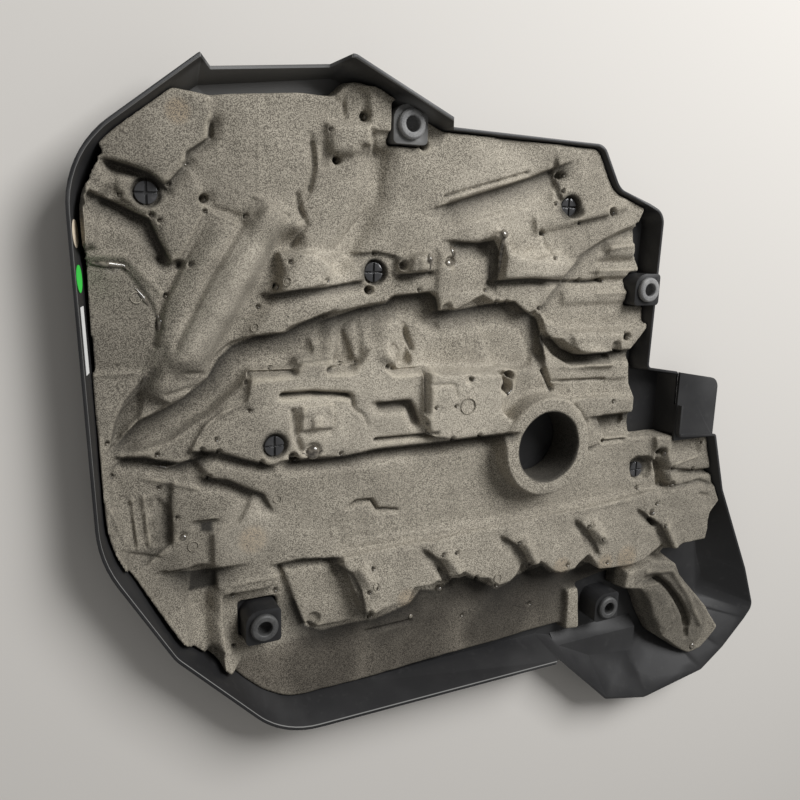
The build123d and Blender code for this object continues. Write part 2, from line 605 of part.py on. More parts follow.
def foam_hollows():
    """The pits, channels and grooves moulded into the foam."""
    pipe = [
        (-298, 150), (-297, 138), (-262, 146), (-226, 168), (-203, 186), (-193, 199), (-157, 200),
        (-152, 208), (-123, 209), (-118, 199), (-101, 200), (-88, 217), (-72, 218), (-63, 206), (-60, 194),
        (-30, 196), (-24, 193), (52, 190), (70, 186), (88, 187), (99, 204), (101, 226), (95, 246),
        (76, 241), (55, 254), (40, 253), (27, 260), (0, 247), (-20, 245), (-23, 262), (-30, 264),
        (-62, 260), (-68, 256), (-90, 253), (-110, 249), (-137, 243), (-160, 236), (-166, 231),
        (-183, 228), (-200, 222), (-212, 214), (-227, 200), (-235, 192), (-247, 183), (-267, 175),
        (-285, 162),
    ]
    left_panel = [
        (-345, 289), (-345, 205), (-277, 205), (-273, 220), (-268, 235), (-266, 248), (-275, 266),
        (-284, 279), (-297, 289),
    ]
    dark_pocket = [
        (-303, 326), (-298, 316), (-283, 304), (-270, 294), (-260, 284), (-258, 290), (-264, 303),
        (-268, 316), (-277, 326), (-290, 335), (-301, 334),
    ]
    dip = [(-228, 343), (-224, 328), (-203, 319), (-196, 325), (-200, 341), (-213, 346)]
    tower_shade = [(-116, 425), (-114, 404), (-99, 404), (-99, 428)]
    slant = [(-15, 343), (-8, 320), (40, 333), (98, 345), (106, 360), (103, 380), (70, 368)]
    tongue_pit = [(3, 306), (5, 272), (22, 263), (39, 274), (41, 300), (35, 311)]
    side_field = [
        (245, 345), (207, 329), (180, 320), (160, 311), (140, 299), (130, 286), (112, 268), (100, 256),
        (93, 246), (102, 231), (130, 223), (212, 223), (245, 232), (245, 300),
    ]
    block_shade = [
        (103, 216), (113, 200), (131, 188), (190, 189), (188, 199), (145, 198), (130, 206), (116, 215),
    ]
    side_pocket = [(182, 131), (187, 104), (225, 104), (225, 131)]
    low_left = [
        (-308, 128), (-309, 96), (-298, 62), (-300, 40), (-292, 5), (-262, -45), (-228, -45), (-228, 60),
        (-205, 68), (-192, 92), (-205, 103), (-230, 112), (-241, 127), (-256, 126), (-273, 130), (-296, 134),
    ]
    left_scoop = [(-306, 150), (-300, 144), (-297, 152), (-284, 166), (-279, 180), (-281, 192), (-298, 172)]
    ribbed = [(-297, 101), (-294, 58), (-262, 54), (-261, 84), (-272, 100)]
    deep_pocket = [(-252, 34), (-254, 12), (-229, 10), (-228, 33), (-240, 37)]
    tower_well = [(-221, 2), (-221, -48), (-170, -50), (-170, 4)]
    scoop = [(-242, -46), (-240, -80), (-226, -80), (-223, -46), (-232, -36)]
    slot_hole = [(53, 184), (57, 165), (65, 164), (67, 183), (60, 187)]
    plate_recess = [(-77, 166), (-77, 154), (-48, 154), (-44, 140), (-33, 138), (-42, 163)]
    pad_frame = [(-156, 160), (-156, 140), (-120, 139), (-120, 160)]
    lobe_panel = [(283, 97), (283, 72), (322, 74), (324, 97)]
    lobe_groove = [(264, 80), (270, 38), (282, 36), (279, 66)]
    retainer_bowl = [(226, 66), (232, 54), (250, 52), (258, 62), (256, 76), (240, 79), (229, 77)]
    pits = [
        pit(left_panel, LOWER_LEFT_Z),
        pit(dark_pocket, PIT_Z),
        pit(dip, FIELD_Z - 4.0),
        pit(tower_shade, STRIP_Z),
        pit(slant, FIELD_Z - 6.0),
        pit(tongue_pit, STRIP_Z),
        pit(side_field, FIELD_Z - 7.0, draft=1.5),
        pit(block_shade, PIT_Z),
        pit(side_pocket, STRIP_Z, rim=BLOCK_Z),
        pit(left_scoop, LOWER_LEFT_Z),
        pit(tower_well, STRIP_Z - 1.0, draft=1.0),
        pit(slot_hole, FIELD_Z, rim=HIGH_PLATE_Z, draft=1.0),
        pit(plate_recess, PLATE_Z - 7.0, rim=PLATE_Z),
        pit(pad_frame, PLATE_Z - 3.0, rim=PLATE_Z, draft=1.5),
        pit(lobe_panel, BLOCK_Z - 5.0, rim=BLOCK_Z),
        pit(lobe_groove, STRIP_Z, rim=BLOCK_Z, draft=1.5),
        pit(retainer_bowl, RETAINERS[4][2]),
    ]
    low_pits = [
        pit(low_left, LOWER_LEFT_Z),
        pit(ribbed, STRIP_Z, rim=LOWER_LEFT_Z, draft=1.0),
        pit(deep_pocket, PANEL + 2.0, rim=LOWER_LEFT_Z),
        pit(scoop, PIT_Z, rim=LOWER_LEFT_Z),
    ]
    grooves = [
        groove([(-141, 386), (-138, 366), (-143, 346), (-152, 336), (-150, 322)], 7.0, FIELD_Z - 4.0),
        groove([(-84, 384), (-88, 345), (-104, 312), (-124, 284)], 30.0, FIELD_Z - 5.0, flat=0.5),
        groove([(-18, 347), (71, 372)], 4.0, FIELD_Z - 4.0),
        groove([(-168, 177.5), (-117, 176), (-103, 172), (-101, 161)], 5.0, PLATE_Z - 5.0, rim=PLATE_Z),
        groove([(-80, 129.5), (-16, 129)], 4.0, PLATE_Z - 6.0, rim=PLATE_Z),
        groove([(-106, 69), (-99, 72), (-83, 72), (-77, 62.5), (-57, 61)], 5.0, FIELD_Z - 4.0),
        groove([(-243, 12), (-243, -50)], 28.0, STRIP_Z, rim=LOWER_LEFT_Z + 1.0),
        groove([(258, -69), (280, -70), (298, -84), (322, -111), (335, -130), (337, -146)], 10.0,
               BLOCK_Z - 4.0, rim=BLOCK_Z + 4.0),
        groove([(296, 53), (358, 52)], 8.0, BLOCK_Z - 6.0, rim=BLOCK_Z),
        groove([(120, 171.5), (178, 171.5)], 3.0, FIELD_Z - 2.0, rim=FIELD_Z + 2.0),
    ]
    return pits, low_pits, grooves, pit(pipe, CHANNEL_Z)


def pipe_lumps():
    """Steps left standing on the floor of the pipe channel and on the corrugated side field."""
    lumps = [
        mesa([(-142, 240), (-138, 208), (-122, 209), (-116, 228), (-120, 244)], CHANNEL_Z + 8.0),
        mesa(
            [(-110, 232), (-100, 202), (-88, 218), (-66, 220), (-58, 212), (-50, 238), (-90, 246)],
            CHANNEL_Z + 9.0,
        ),
        mesa([(-48, 234), (-46, 196), (40, 192), (30, 215), (22, 236)], CHANNEL_Z + 9.0, draft=4.0),
    ]
    bars = [
        ridge([(172, 303), (206, 303)], 14.0, FIELD_Z - 2.0),
        ridge([(160, 280), (206, 280)], 12.0, FIELD_Z - 3.0),
        ridge([(120, 255), (214, 257)], 14.0, FIELD_Z - 3.0),
    ]
    ribs = [
        ridge([(x, 100), (x + 4, 58)], 4.0, LOWER_LEFT_Z - 1.0) for x in (-291, -284, -277)
    ]
    pads = [mesa([(-142, 156), (-142, 145), (-129, 145), (-129, 156)], PLATE_Z - 0.5, draft=1.0)]
    oval = [
        mesa(
            [
                (266, -82), (280, -82), (295, -94), (308, -112), (313, -126), (310, -136), (302, -141),
                (292, -133), (281, -112),
            ],
            BLOCK_Z + 6.5,
        )
    ]
    return lumps + bars + ribs + pads + oval


def filler_ring():
    x, y = FILLER
    height = RING_Z - PANEL
    return Pos(x, y, PANEL) * Cone(
        RING_OUTER / 2 + RING_DRAFT, RING_OUTER / 2, height, align=(Align.CENTER, Align.CENTER, Align.MIN)
    )


def foam_openings():
    """What passes through the foam: the filler opening, the towers, the studs and the retainers' heads."""
    lowest = (Align.CENTER, Align.CENTER, Align.MIN)
    tools = [Pos(*FILLER, 0) * Cylinder(FILLER_BORE / 2, RIM_TALL + OVER, align=lowest)]
    wide = max(TOWER_WIDTH, GROMMET_FLANGE) + 2 * TOWER_GAP
    for x, y in GROMMETS.values():
        tools.append(Pos(x, y, 0) * Box(wide, wide, RIM_TALL + OVER, align=lowest))
    for x, y, seat in RETAINERS:
        tools.append(Pos(x, y, 0) * Cylinder(SLEEVE / 2 + FOAM_GAP, RIM_TALL, align=lowest))
        tools.append(Pos(x, y, seat) * Cylinder(RETAINER_BOWL / 2, RIM_TALL, align=lowest))
    return tools


def vents():
    """Round vent marks left by the mould: place, width, floor and the height of the foam around each."""
    places = [
        (-229, 337, 8, FIELD_Z - 9.0, FIELD_Z),
        (-118.7, 372, 8, STRIP_Z, FIELD_Z),
        (-95.5, 409, 8, STRIP_Z, FIELD_Z),
        (-171, 269.5, 7, FIELD_Z - 2.0, BLOCK_Z),
        (-88, 265.5, 8, STRIP_Z, FIELD_Z),
        (-250, 287, 8, FIELD_Z - 3.0, FIELD_Z),
        (171.7, 340, 8, FIELD_Z - 3.0, SHELF_Z),
        (-157.5, 122, 9, PLATE_Z - 8.0, PLATE_Z),
        (271, 82, 9, STRIP_Z, BLOCK_Z),
        (205, 213, 8, STRIP_Z, BLOCK_Z),
        (110, 371, 8, STRIP_Z, FIELD_Z),
    ]
    return [hole(*place) for place in places]


def foam_pad():
    """The moulded foam pad: relief built up, hollowed, given small steps and trimmed to the shell."""
    pits, low_pits, grooves, pipe = foam_hollows()
    mass = foam_mass()
    body = mass[0].fuse(*mass[1:])
    body = body.cut(pipe, *pits)
    body = body.cut(*low_pits, *grooves)
    body = body.fuse(*pipe_lumps())
    row = coil_row()
    body = body.fuse(*row[0].fuse(*row[1:]).solids())
    body = body.fuse(filler_ring())
    body = body.cut(*foam_openings(), *vents())
    body = body & tray(WALL + FOAM_GAP, PANEL, RIM_TALL)
    pieces = sorted(body.solids(), key=lambda solid: solid.volume)
    return pieces[-1]


def build():
    nodes = {"cover_shell": cover_shell(), "foam_pad": foam_pad()}
    for name, place in GROMMETS.items():
        nodes[f"grommet_{name}"] = grommet(*place)
    nodes["foam_retainers"] = Compound([retainer(*place).solid() for place in RETAINERS])
    nodes["inspection_dot_green"] = sticker(Circle(DOT / 2), GREEN_DOT_Y)
    nodes["inspection_dot_beige"] = sticker(Circle(DOT / 2), BEIGE_DOT_Y)
    nodes["label_strip"] = sticker(Rectangle(STRIP_LENGTH, STRIP_WIDTH), STRIP_Y)
    box = nodes["cover_shell"].bounding_box()
    centre = Pos(-(box.min.X + box.max.X) / 2, -(box.min.Y + box.max.Y) / 2, 0)
    return {name: centre * shape for name, shape in nodes.items()}


os.makedirs("parts", exist_ok=True)
for node, shape in build().items():
    export_step(shape, f"parts/{node}.step")
    print(node, len(shape.solids()), round(shape.volume / 1000, 2), "cm3")
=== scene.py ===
import math

import bmesh
import bpy
import numpy as np
from mathutils import Matrix, Vector
from mathutils.bvhtree import BVHTree


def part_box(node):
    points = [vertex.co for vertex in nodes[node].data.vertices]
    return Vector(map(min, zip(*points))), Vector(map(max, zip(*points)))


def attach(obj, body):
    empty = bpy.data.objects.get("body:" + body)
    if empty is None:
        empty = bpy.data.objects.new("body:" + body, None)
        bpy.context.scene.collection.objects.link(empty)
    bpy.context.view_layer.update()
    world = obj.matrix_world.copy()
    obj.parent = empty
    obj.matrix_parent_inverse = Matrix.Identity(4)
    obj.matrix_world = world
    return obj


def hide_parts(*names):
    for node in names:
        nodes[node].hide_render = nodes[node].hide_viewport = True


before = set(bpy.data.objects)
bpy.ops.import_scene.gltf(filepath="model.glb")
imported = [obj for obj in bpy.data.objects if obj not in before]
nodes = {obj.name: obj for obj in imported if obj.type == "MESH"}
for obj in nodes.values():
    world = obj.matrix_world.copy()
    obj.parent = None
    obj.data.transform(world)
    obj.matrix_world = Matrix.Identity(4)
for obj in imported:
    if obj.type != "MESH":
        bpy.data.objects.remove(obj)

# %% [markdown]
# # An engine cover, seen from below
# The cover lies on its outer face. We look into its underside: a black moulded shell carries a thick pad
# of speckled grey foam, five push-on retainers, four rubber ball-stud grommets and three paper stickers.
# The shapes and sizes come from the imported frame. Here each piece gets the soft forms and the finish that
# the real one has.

MM = 0.001
scene = bpy.context.scene
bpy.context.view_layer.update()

# %% [markdown]
# ## The eye and the plan
# The photograph was taken from close by, so the pad's relief slides about in the picture: a high point
# hides what lies behind it. It is easiest to describe a crease by the place where the eye sees it on one
# level, the pad's open field. The plan below has its origin where the drawing of the cover has it, which
# we find again from one grommet whose place on the plan is known.

# %% Camera
GROMMET_ON_PLAN = (-188.5, -28.5)
low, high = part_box("grommet_lower_left")
plan_x = (low[0] + high[0]) / 2 / MM - GROMMET_ON_PLAN[0]
plan_y = (low[1] + high[1]) / 2 / MM - GROMMET_ON_PLAN[1]
EYE_ON_PLAN = (-358.7, 315.8)
EYE_HEIGHT = 648.9
FIELD_HEIGHT = 23.0
RIGHT = Vector((0.9025, 0.0225, 0.4302))
UP = Vector((0.0710, 0.9772, -0.2001))
BACK = Vector((-0.4249, 0.2111, 0.8803))
LENS = 35.1
SENSOR = 36.0
NEAR_CLIP = 0.01

eye = Vector(((EYE_ON_PLAN[0] + plan_x) * MM, (EYE_ON_PLAN[1] + plan_y) * MM, EYE_HEIGHT * MM))


def put(name, data):
    thing = bpy.data.objects.new(name, data)
    scene.collection.objects.link(thing)
    return thing


camera_data = bpy.data.cameras.new("camera")
camera_data.lens = LENS
camera_data.sensor_width = SENSOR
camera_data.clip_start = NEAR_CLIP
camera = put("camera", camera_data)
turn = Matrix((RIGHT.normalized(), UP.normalized(), BACK.normalized())).transposed()
camera.matrix_world = Matrix.Translation(eye) @ turn.to_4x4()
scene.camera = camera
print("plan origin at", round(plan_x, 2), round(plan_y, 2), "mm, eye at", [round(v, 3) for v in eye])

# %% [markdown]
# ## Floor and light
# A pale floor and one large soft lamp from the upper right give the photo's long soft shades: walls that
# face the lower left go dark. A weak grey world fills them in. In the middle of the floor the two light a
# level surface at about 1, so a colour renders there about as it is written.

# %% Floor, lamp and world
FLOOR_SIZE = 8.0
FLOOR_COLOUR = (0.66, 0.637, 0.604)
FLOOR_ROUGH = 0.7
FLOOR_DROP = 0.2 * MM
WORLD_COLOUR = (1.0, 0.99, 0.97, 1.0)
WORLD_LEVEL = 0.22
KEY_SIZE = 1.3
KEY_POWER = 72.0
KEY_AT = Vector((1.05, 1.50, 1.75))


def flat_square(name, size, height):
    mesh = bpy.data.meshes.new(name)
    half = size / 2
    corners = [(-half, -half, height), (half, -half, height), (half, half, height), (-half, half, height)]
    mesh.from_pydata(corners, [], [(0, 1, 2, 3)])
    return put(name, mesh)


def plain_material(name, colour, roughness):
    material = bpy.data.materials.new(name)
    material.use_nodes = True
    shader = material.node_tree.nodes["Principled BSDF"]
    shader.inputs["Base Color"].default_value = (*colour, 1.0)
    shader.inputs["Roughness"].default_value = roughness
    return material


floor = flat_square("floor", FLOOR_SIZE, -FLOOR_DROP)
floor.data.materials.append(plain_material("pale floor", FLOOR_COLOUR, FLOOR_ROUGH))

lamp_data = bpy.data.lights.new("soft box", "AREA")
lamp_data.size = KEY_SIZE
lamp_data.energy = KEY_POWER
lamp = put("soft box", lamp_data)
lamp.location = KEY_AT
lamp.rotation_euler = (-KEY_AT).to_track_quat("-Z", "Y").to_euler()

world = bpy.data.worlds.new("studio")
world.use_nodes = True
sky = world.node_tree.nodes["Background"]
sky.inputs["Color"].default_value = WORLD_COLOUR
sky.inputs["Strength"].default_value = WORLD_LEVEL
scene.world = world
scene.view_settings.view_transform = "Standard"
print("lamp at", [round(v, 2) for v in KEY_AT], "power", KEY_POWER, "world", WORLD_LEVEL)

# %% [markdown]
# ## Shared effects
# Two things show on more than one material here: a fine grain, and slow blotches of tone, wear or dust.
# Each is a node group, so that its pattern is built once and every material sets its own scale and
# strength.

# %% Node groups for grain and blotches
COARSE_STEP = 0.31
FINE_SHARE = 0.82
COARSE_SHARE = 0.18
SPECK_EDGE = (0.36, 0.64)


def new_group(name, inputs, outputs, kind="ShaderNodeTree"):
    group = bpy.data.node_groups.new(name, kind)
    for label, socket_kind, *value in inputs:
        socket = group.interface.new_socket(label, in_out="INPUT", socket_type=socket_kind)
        if value:
            socket.default_value = value[0]
    for label, socket_kind in outputs:
        group.interface.new_socket(label, in_out="OUTPUT", socket_type=socket_kind)
    return group, group.nodes.new("NodeGroupInput"), group.nodes.new("NodeGroupOutput")


def plug(tree, node, inputs):
    """Links each input to another node's output, or sets it to a plain value."""
    for label, value in inputs.items():
        socket = node.inputs[label]
        if isinstance(value, bpy.types.NodeSocket):
            tree.links.new(value, socket)
        else:
            socket.default_value = (*value, 1.0) if socket.type == "RGBA" else value


def add(tree, kind, inputs=None, **settings):
    node = tree.nodes.new(kind)
    for key, value in settings.items():
        setattr(node, key, value)
    plug(tree, node, inputs or {})
    return node


def noise(tree, place, scale, detail):
    inputs = {"Vector": place, "Scale": scale, "Detail": detail}
    return add(tree, "ShaderNodeTexNoise", inputs).outputs["Fac"]


def ramp(tree, value, start, end):
    inputs = {"Value": value, "From Min": start, "From Max": end}
    return add(tree, "ShaderNodeMapRange", inputs, interpolation_type="SMOOTHSTEP").outputs["Result"]


def combine(tree, kind, first, second):
    return add(tree, "ShaderNodeMath", {0: first, 1: second}, operation=kind).outputs[0]


def scaled(tree, value, share):
    return combine(tree, "MULTIPLY", value, share)


def blend(tree, factor, first, second, kind="MIX"):
    inputs = {0: factor, 6: first, 7: second}
    return add(tree, "ShaderNodeMix", inputs, data_type="RGBA", blend_type=kind).outputs[2]


grain_group, given, result = new_group(
    "speckled grain",
    [("Place", "NodeSocketVector", (0, 0, 0)), ("Scale", "NodeSocketFloat", 900.0),
     ("Contrast", "NodeSocketFloat", 0.5)],
    [("Tone", "NodeSocketFloat"), ("Height", "NodeSocketFloat")])
fine = noise(grain_group, given.outputs["Place"], given.outputs["Scale"], 2.0)
coarse_scale = scaled(grain_group, given.outputs["Scale"], COARSE_STEP)
coarse = noise(grain_group, given.outputs["Place"], coarse_scale, 3.0)
both = combine(grain_group, "ADD", scaled(grain_group, fine, FINE_SHARE),
               scaled(grain_group, coarse, COARSE_SHARE))
sharp = ramp(grain_group, both, *SPECK_EDGE)
centred = combine(grain_group, "SUBTRACT", sharp, 0.5)
tone = combine(grain_group, "ADD", scaled(grain_group, centred, given.outputs["Contrast"]), 0.5)
plug(grain_group, result, {"Tone": tone, "Height": both})

blotch_group, given, result = new_group(
    "slow blotches",
    [("Place", "NodeSocketVector", (0, 0, 0)), ("Scale", "NodeSocketFloat", 14.0),
     ("From", "NodeSocketFloat", 0.4), ("To", "NodeSocketFloat", 0.65)],
    [("Mask", "NodeSocketFloat")])
slow = noise(blotch_group, given.outputs["Place"], given.outputs["Scale"], 4.0)
mask = ramp(blotch_group, slow, given.outputs["From"], given.outputs["To"])
plug(blotch_group, result, {"Mask": mask})
print("node groups:", grain_group.name, "and", blotch_group.name)


def use_group(tree, group, place, **values):
    return add(tree, "ShaderNodeGroup", {"Place": place, **values}, node_tree=group)


def start_material(name):
    material = bpy.data.materials.new(name)
    material.use_nodes = True
    tree = material.node_tree
    place = add(tree, "ShaderNodeTexCoord").outputs["Object"]
    return material, tree, tree.nodes["Principled BSDF"], place


def attribute(tree, name):
    return add(tree, "ShaderNodeAttribute", attribute_name=name).outputs["Fac"]


def add_bump(tree, shader, height, strength, distance):
    bump = add(tree, "ShaderNodeBump", {"Strength": strength, "Distance": distance, "Height": height})
    plug(tree, shader, {"Normal": bump.outputs["Normal"]})

# %% [markdown]
# ## The foam's finish
# Moulded polyurethane foam has a dull skin full of fine light and dark specks, with open pores where the
# skin tore. Raised edges are drawn pale and cream, hollows get painted shade, and a few tan stains show
# where it got warm. The pad's mesh will carry seven values for each point: raised and pale, painted
# shade, shade on the low strip, broad painted shade, stained, painted light and filmed over. The
# material mixes its tones by them. The painted shade towards the ends and on the low strip darkens the
# specks without hiding them.

# %% Foam material
FOAM_DARK = (0.100, 0.088, 0.070)
FOAM_MID = (0.285, 0.257, 0.210)
FOAM_PALE = (0.520, 0.475, 0.390)
FOAM_CREAM = (0.560, 0.505, 0.400)
FOAM_TAN = (0.360, 0.262, 0.160)
# Painted colours: a lift of painted light, painted shade that also colours the pores, broad painted shade
# and painted shade for the low strip.
FOAM_LIGHT_LIFT = (0.085, 0.078, 0.066)
FOAM_SHADE_AND_PORES = (0.015, 0.0135, 0.0115)
FOAM_BROAD_SHADE = (0.330, 0.325, 0.320)
FOAM_STRIP_SHADE = (0.330, 0.311, 0.303)
MID_SHARE = 0.20
BLOTCH_SHARE = 0.22
PATCH_SHARE = 0.12
# Shares: painted shade towards the ends, painted shade on the low strip, stains, paleness of raised points,
# then painted shade in hollows.
BROAD_SHADE_SHARE = 0.66
STRIP_SHADE_SHARE = 0.72
STAIN_SHARE = 0.5
RAISED_PALE_SHARE = 0.35
PAINTED_SHADE_SHARE = 0.92
PORE_SCALE = 210.0
PORE_EDGE = (0.20, 0.10)
PORE_SHARE = 0.8
FOAM_ROUGH = 0.88
FILM_GLOSS = 0.62
FILM_SMOOTH = 0.8

foam_material, tree, shader, place = start_material("speckled foam")
grain = use_group(tree, grain_group, place, Scale=1100.0, Contrast=1.2)
blotch = use_group(tree, blotch_group, place, Scale=16.0, From=0.42, To=0.68)
patch = use_group(tree, blotch_group, place, Scale=60.0, From=0.48, To=0.75)
colour = blend(tree, grain.outputs["Tone"], FOAM_DARK, FOAM_PALE)
colour = blend(tree, MID_SHARE, colour, FOAM_MID)
colour = blend(tree, scaled(tree, blotch.outputs["Mask"], BLOTCH_SHARE), colour, FOAM_DARK)
colour = blend(tree, scaled(tree, patch.outputs["Mask"], PATCH_SHARE), colour, FOAM_PALE)
# Painted shade towards the pad's left and right ends and on listed patches.
colour = blend(tree, scaled(tree, attribute(tree, "broad_shade"), BROAD_SHADE_SHARE), colour, FOAM_BROAD_SHADE, "MULTIPLY")
# Painted shade on the low strip below the coil row.
colour = blend(tree, scaled(tree, attribute(tree, "strip_shade"), STRIP_SHADE_SHARE), colour, FOAM_STRIP_SHADE, "MULTIPLY")
stain = scaled(tree, attribute(tree, "stained"), grain.outputs["Tone"])
colour = blend(tree, scaled(tree, stain, STAIN_SHARE), colour, FOAM_TAN)
# Painted light: listed patches are lifted paler.
colour = blend(tree, attribute(tree, "pale"), colour, FOAM_LIGHT_LIFT, "ADD")
# Points that stand above their surroundings are mixed towards cream.
colour = blend(tree, scaled(tree, attribute(tree, "raised_pale"), RAISED_PALE_SHARE), colour, FOAM_CREAM)
# Painted shade in creases, hollows, below ledges and facets, in the bore and clip bowls, round the spout
# and in pockets.
colour = blend(tree, scaled(tree, attribute(tree, "painted_shade"), PAINTED_SHADE_SHARE), colour, FOAM_SHADE_AND_PORES)
pores = add(tree, "ShaderNodeTexVoronoi", {"Vector": place, "Scale": PORE_SCALE})
pore_mask = ramp(tree, pores.outputs["Distance"], *PORE_EDGE)
pore_mask = scaled(tree, pore_mask, patch.outputs["Mask"])
colour = blend(tree, scaled(tree, pore_mask, PORE_SHARE), colour, FOAM_SHADE_AND_PORES)
film = attribute(tree, "filmed")
dull = combine(tree, "SUBTRACT", FOAM_ROUGH, scaled(tree, film, FILM_GLOSS))
plug(tree, shader, {"Base Color": colour, "Roughness": dull, "Specular IOR Level": 0.35})
height = combine(tree, "SUBTRACT", grain.outputs["Height"], scaled(tree, pore_mask, PORE_SHARE))
height = scaled(tree, height, combine(tree, "SUBTRACT", 1.0, scaled(tree, film, FILM_SMOOTH)))
add_bump(tree, shader, height, strength=0.55, distance=0.9 * MM)
print("foam material with", len(tree.nodes), "nodes")

# %% [markdown]
# ## A soft copy of the foam block
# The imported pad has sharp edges. A Voxel Remesh gives its copy an even skin of small faces, and a few
# rounds of smoothing wear every edge round, as foam comes out of a mould. The flat underside lies on the
# shell and needs no detail, so its faces are merged again at the end.

# %% Remesh and smooth
FOAM_VOXEL = 1.7 * MM
FOAM_ROUNDS = 3
WORN_SHARE = 0.5
JOIN_WITHIN = 0.002 * MM


def merged_copy(node, name):
    """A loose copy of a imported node's mesh with its corners joined."""
    body = bmesh.new()
    body.from_mesh(nodes[node].data)
    bmesh.ops.remove_doubles(body, verts=body.verts, dist=JOIN_WITHIN)
    mesh = bpy.data.meshes.new(name)
    body.to_mesh(mesh)
    body.free()
    mesh.materials.clear()
    return put(name, mesh)


def bake_modifiers(piece):
    """Turns a piece with modifiers into a plain mesh."""
    baked = bpy.data.meshes.new_from_object(piece.evaluated_get(bpy.context.evaluated_depsgraph_get()))
    piece.modifiers.clear()
    piece.data = baked


def even_skin(piece, voxel, rounds):
    """An even skin of small faces with its edges worn round."""
    remesh = piece.modifiers.new("even skin", "REMESH")
    remesh.mode = "VOXEL"
    remesh.voxel_size = voxel
    smooth = piece.modifiers.new("worn edges", "SMOOTH")
    smooth.factor = WORN_SHARE
    smooth.iterations = rounds
    bake_modifiers(piece)


foam = merged_copy("foam_pad", "foam_relief")
even_skin(foam, FOAM_VOXEL, FOAM_ROUNDS)
print("foam skin:", len(foam.data.vertices), "points", len(foam.data.polygons), "faces")

# %% [markdown]
# ## Sculpting by lists
# A sculptor would push the relief with brushes. Here each stroke is a row in a list: a path on the plan,
# half its width and how far the foam rises or sinks there. Strokes are given where the eye sees them, so
# each point is first slid along its sight line to the field's level.

# %% Strokes, pads and slopes


def points_of(mesh):
    flat = np.empty(len(mesh.vertices) * 3)
    mesh.vertices.foreach_get("co", flat)
    return flat.reshape(-1, 3)


def as_seen(points):
    """Plan places at which the eye sees the points, on the field's level, in mm."""
    plan = points[:, :2] / MM - (plan_x, plan_y)
    reach = (EYE_HEIGHT - FIELD_HEIGHT) / (EYE_HEIGHT - points[:, 2] / MM)
    return EYE_ON_PLAN + (plan - EYE_ON_PLAN) * reach[:, None]


def near(spots, path, margin):
    corners = np.array(path, dtype=float)
    inside = (spots > corners.min(axis=0) - margin) & (spots < corners.max(axis=0) + margin)
    return np.nonzero(inside.all(axis=1))[0]


FAR = 1e9
TINY = 1e-9
LEDGE_LIP = (-0.8, 1.6)
LEDGE_CURVE = 1.4
DENT_FLOOR = 0.55


def runs_of(spots, path):
    """For each straight run of a path, the gap to every spot, and a turn that is positive on its right."""
    for (ax, ay), (bx, by) in zip(path[:-1], path[1:]):
        run = np.array((bx - ax, by - ay), dtype=float)
        offset = spots - (ax, ay)
        along = np.clip(offset @ run / max(run @ run, TINY), 0.0, 1.0)
        gap = np.hypot(*(offset - along[:, None] * run).T)
        yield gap, offset[:, 0] * run[1] - offset[:, 1] * run[0]


def distance_to(spots, path):
    """How far each spot is from a path of straight runs."""
    best = np.full(len(spots), FAR)
    for gap, _ in runs_of(spots, path):
        best = np.minimum(best, gap)
    return best


def within(spots, outline):
    """Signed distance to a closed outline, positive inside."""
    closed = outline + outline[:1]
    inside = np.zeros(len(spots), dtype=bool)
    for (ax, ay), (bx, by) in zip(closed[:-1], closed[1:]):
        crosses = (ay > spots[:, 1]) != (by > spots[:, 1])
        at = ax + (spots[:, 1] - ay) * (bx - ax) / (by - ay if by != ay else TINY)
        inside ^= crosses & (spots[:, 0] < at)
    gap = distance_to(spots, closed)
    return np.where(inside, gap, -gap)


def past(spots, path):
    """Signed distance to a path, positive on the right-hand side of its nearest run."""
    best = np.full(len(spots), FAR)
    side = np.ones(len(spots))
    for gap, turn in runs_of(spots, path):
        side = np.where(gap < best - 1e-6, np.where(turn >= 0, 1.0, -1.0), side)
        best = np.minimum(best, gap)
    return best * side


def eased(values, start, end):
    share = np.clip((values - start) / (end - start), 0.0, 1.0)
    return share * share * (3 - 2 * share)


def span(values):
    return f"{values.min():.1f} to {values.max():.1f} mm"


def stroke(spots, lift, path, half_width, rise):
    """A round ridge or groove along a path."""
    chosen = near(spots, path, half_width)
    share = np.clip(1 - (distance_to(spots[chosen], path) / half_width) ** 2, 0.0, 1.0)
    lift[chosen] += rise * share * share


def ledge(spots, lift, path, reach, drop):
    """Foam falls away on the right-hand side of a path and climbs back over the reach."""
    chosen = near(spots, path, reach)
    signed = past(spots[chosen], path)
    share = eased(signed, *LEDGE_LIP) * np.clip(1 - signed / reach, 0.0, 1.0) ** LEDGE_CURVE
    lift[chosen] -= drop * share


def inside_share(spots, outline, soft):
    """1 inside an outline, 0 outside, with a soft edge."""
    return eased(within(spots, outline), -soft / 2, soft / 2)


def pad(spots, lift, outline, rise, soft):
    """A patch of foam that stands proud, or lies low, by the same amount all over."""
    chosen = near(spots, outline, soft)
    lift[chosen] += rise * inside_share(spots[chosen], outline, soft)


def level(spots, lift, heights, outline, height, soft):
    """Foam inside an outline comes to one height."""
    chosen = near(spots, outline, soft)
    lift[chosen] += (height - heights[chosen]) * inside_share(spots[chosen], outline, soft)


def slope(spots, lift, outline, start, end, rise, soft):
    """Inside an outline, foam climbs from nothing at the start to the full rise at the end."""
    chosen = near(spots, outline, soft)
    run = np.array(end, dtype=float) - start
    share = np.clip((spots[chosen] - start) @ run / (run @ run), 0.0, 1.0)
    lift[chosen] += rise * share * inside_share(spots[chosen], outline, soft)


def dent(spots, lift, x, y, radius, depth):
    """A round dimple with steep sides."""
    chosen = near(spots, [(x, y)], radius)
    gap = np.hypot(spots[chosen, 0] - x, spots[chosen, 1] - y)
    lift[chosen] -= depth * eased(gap, radius, radius * DENT_FLOOR)


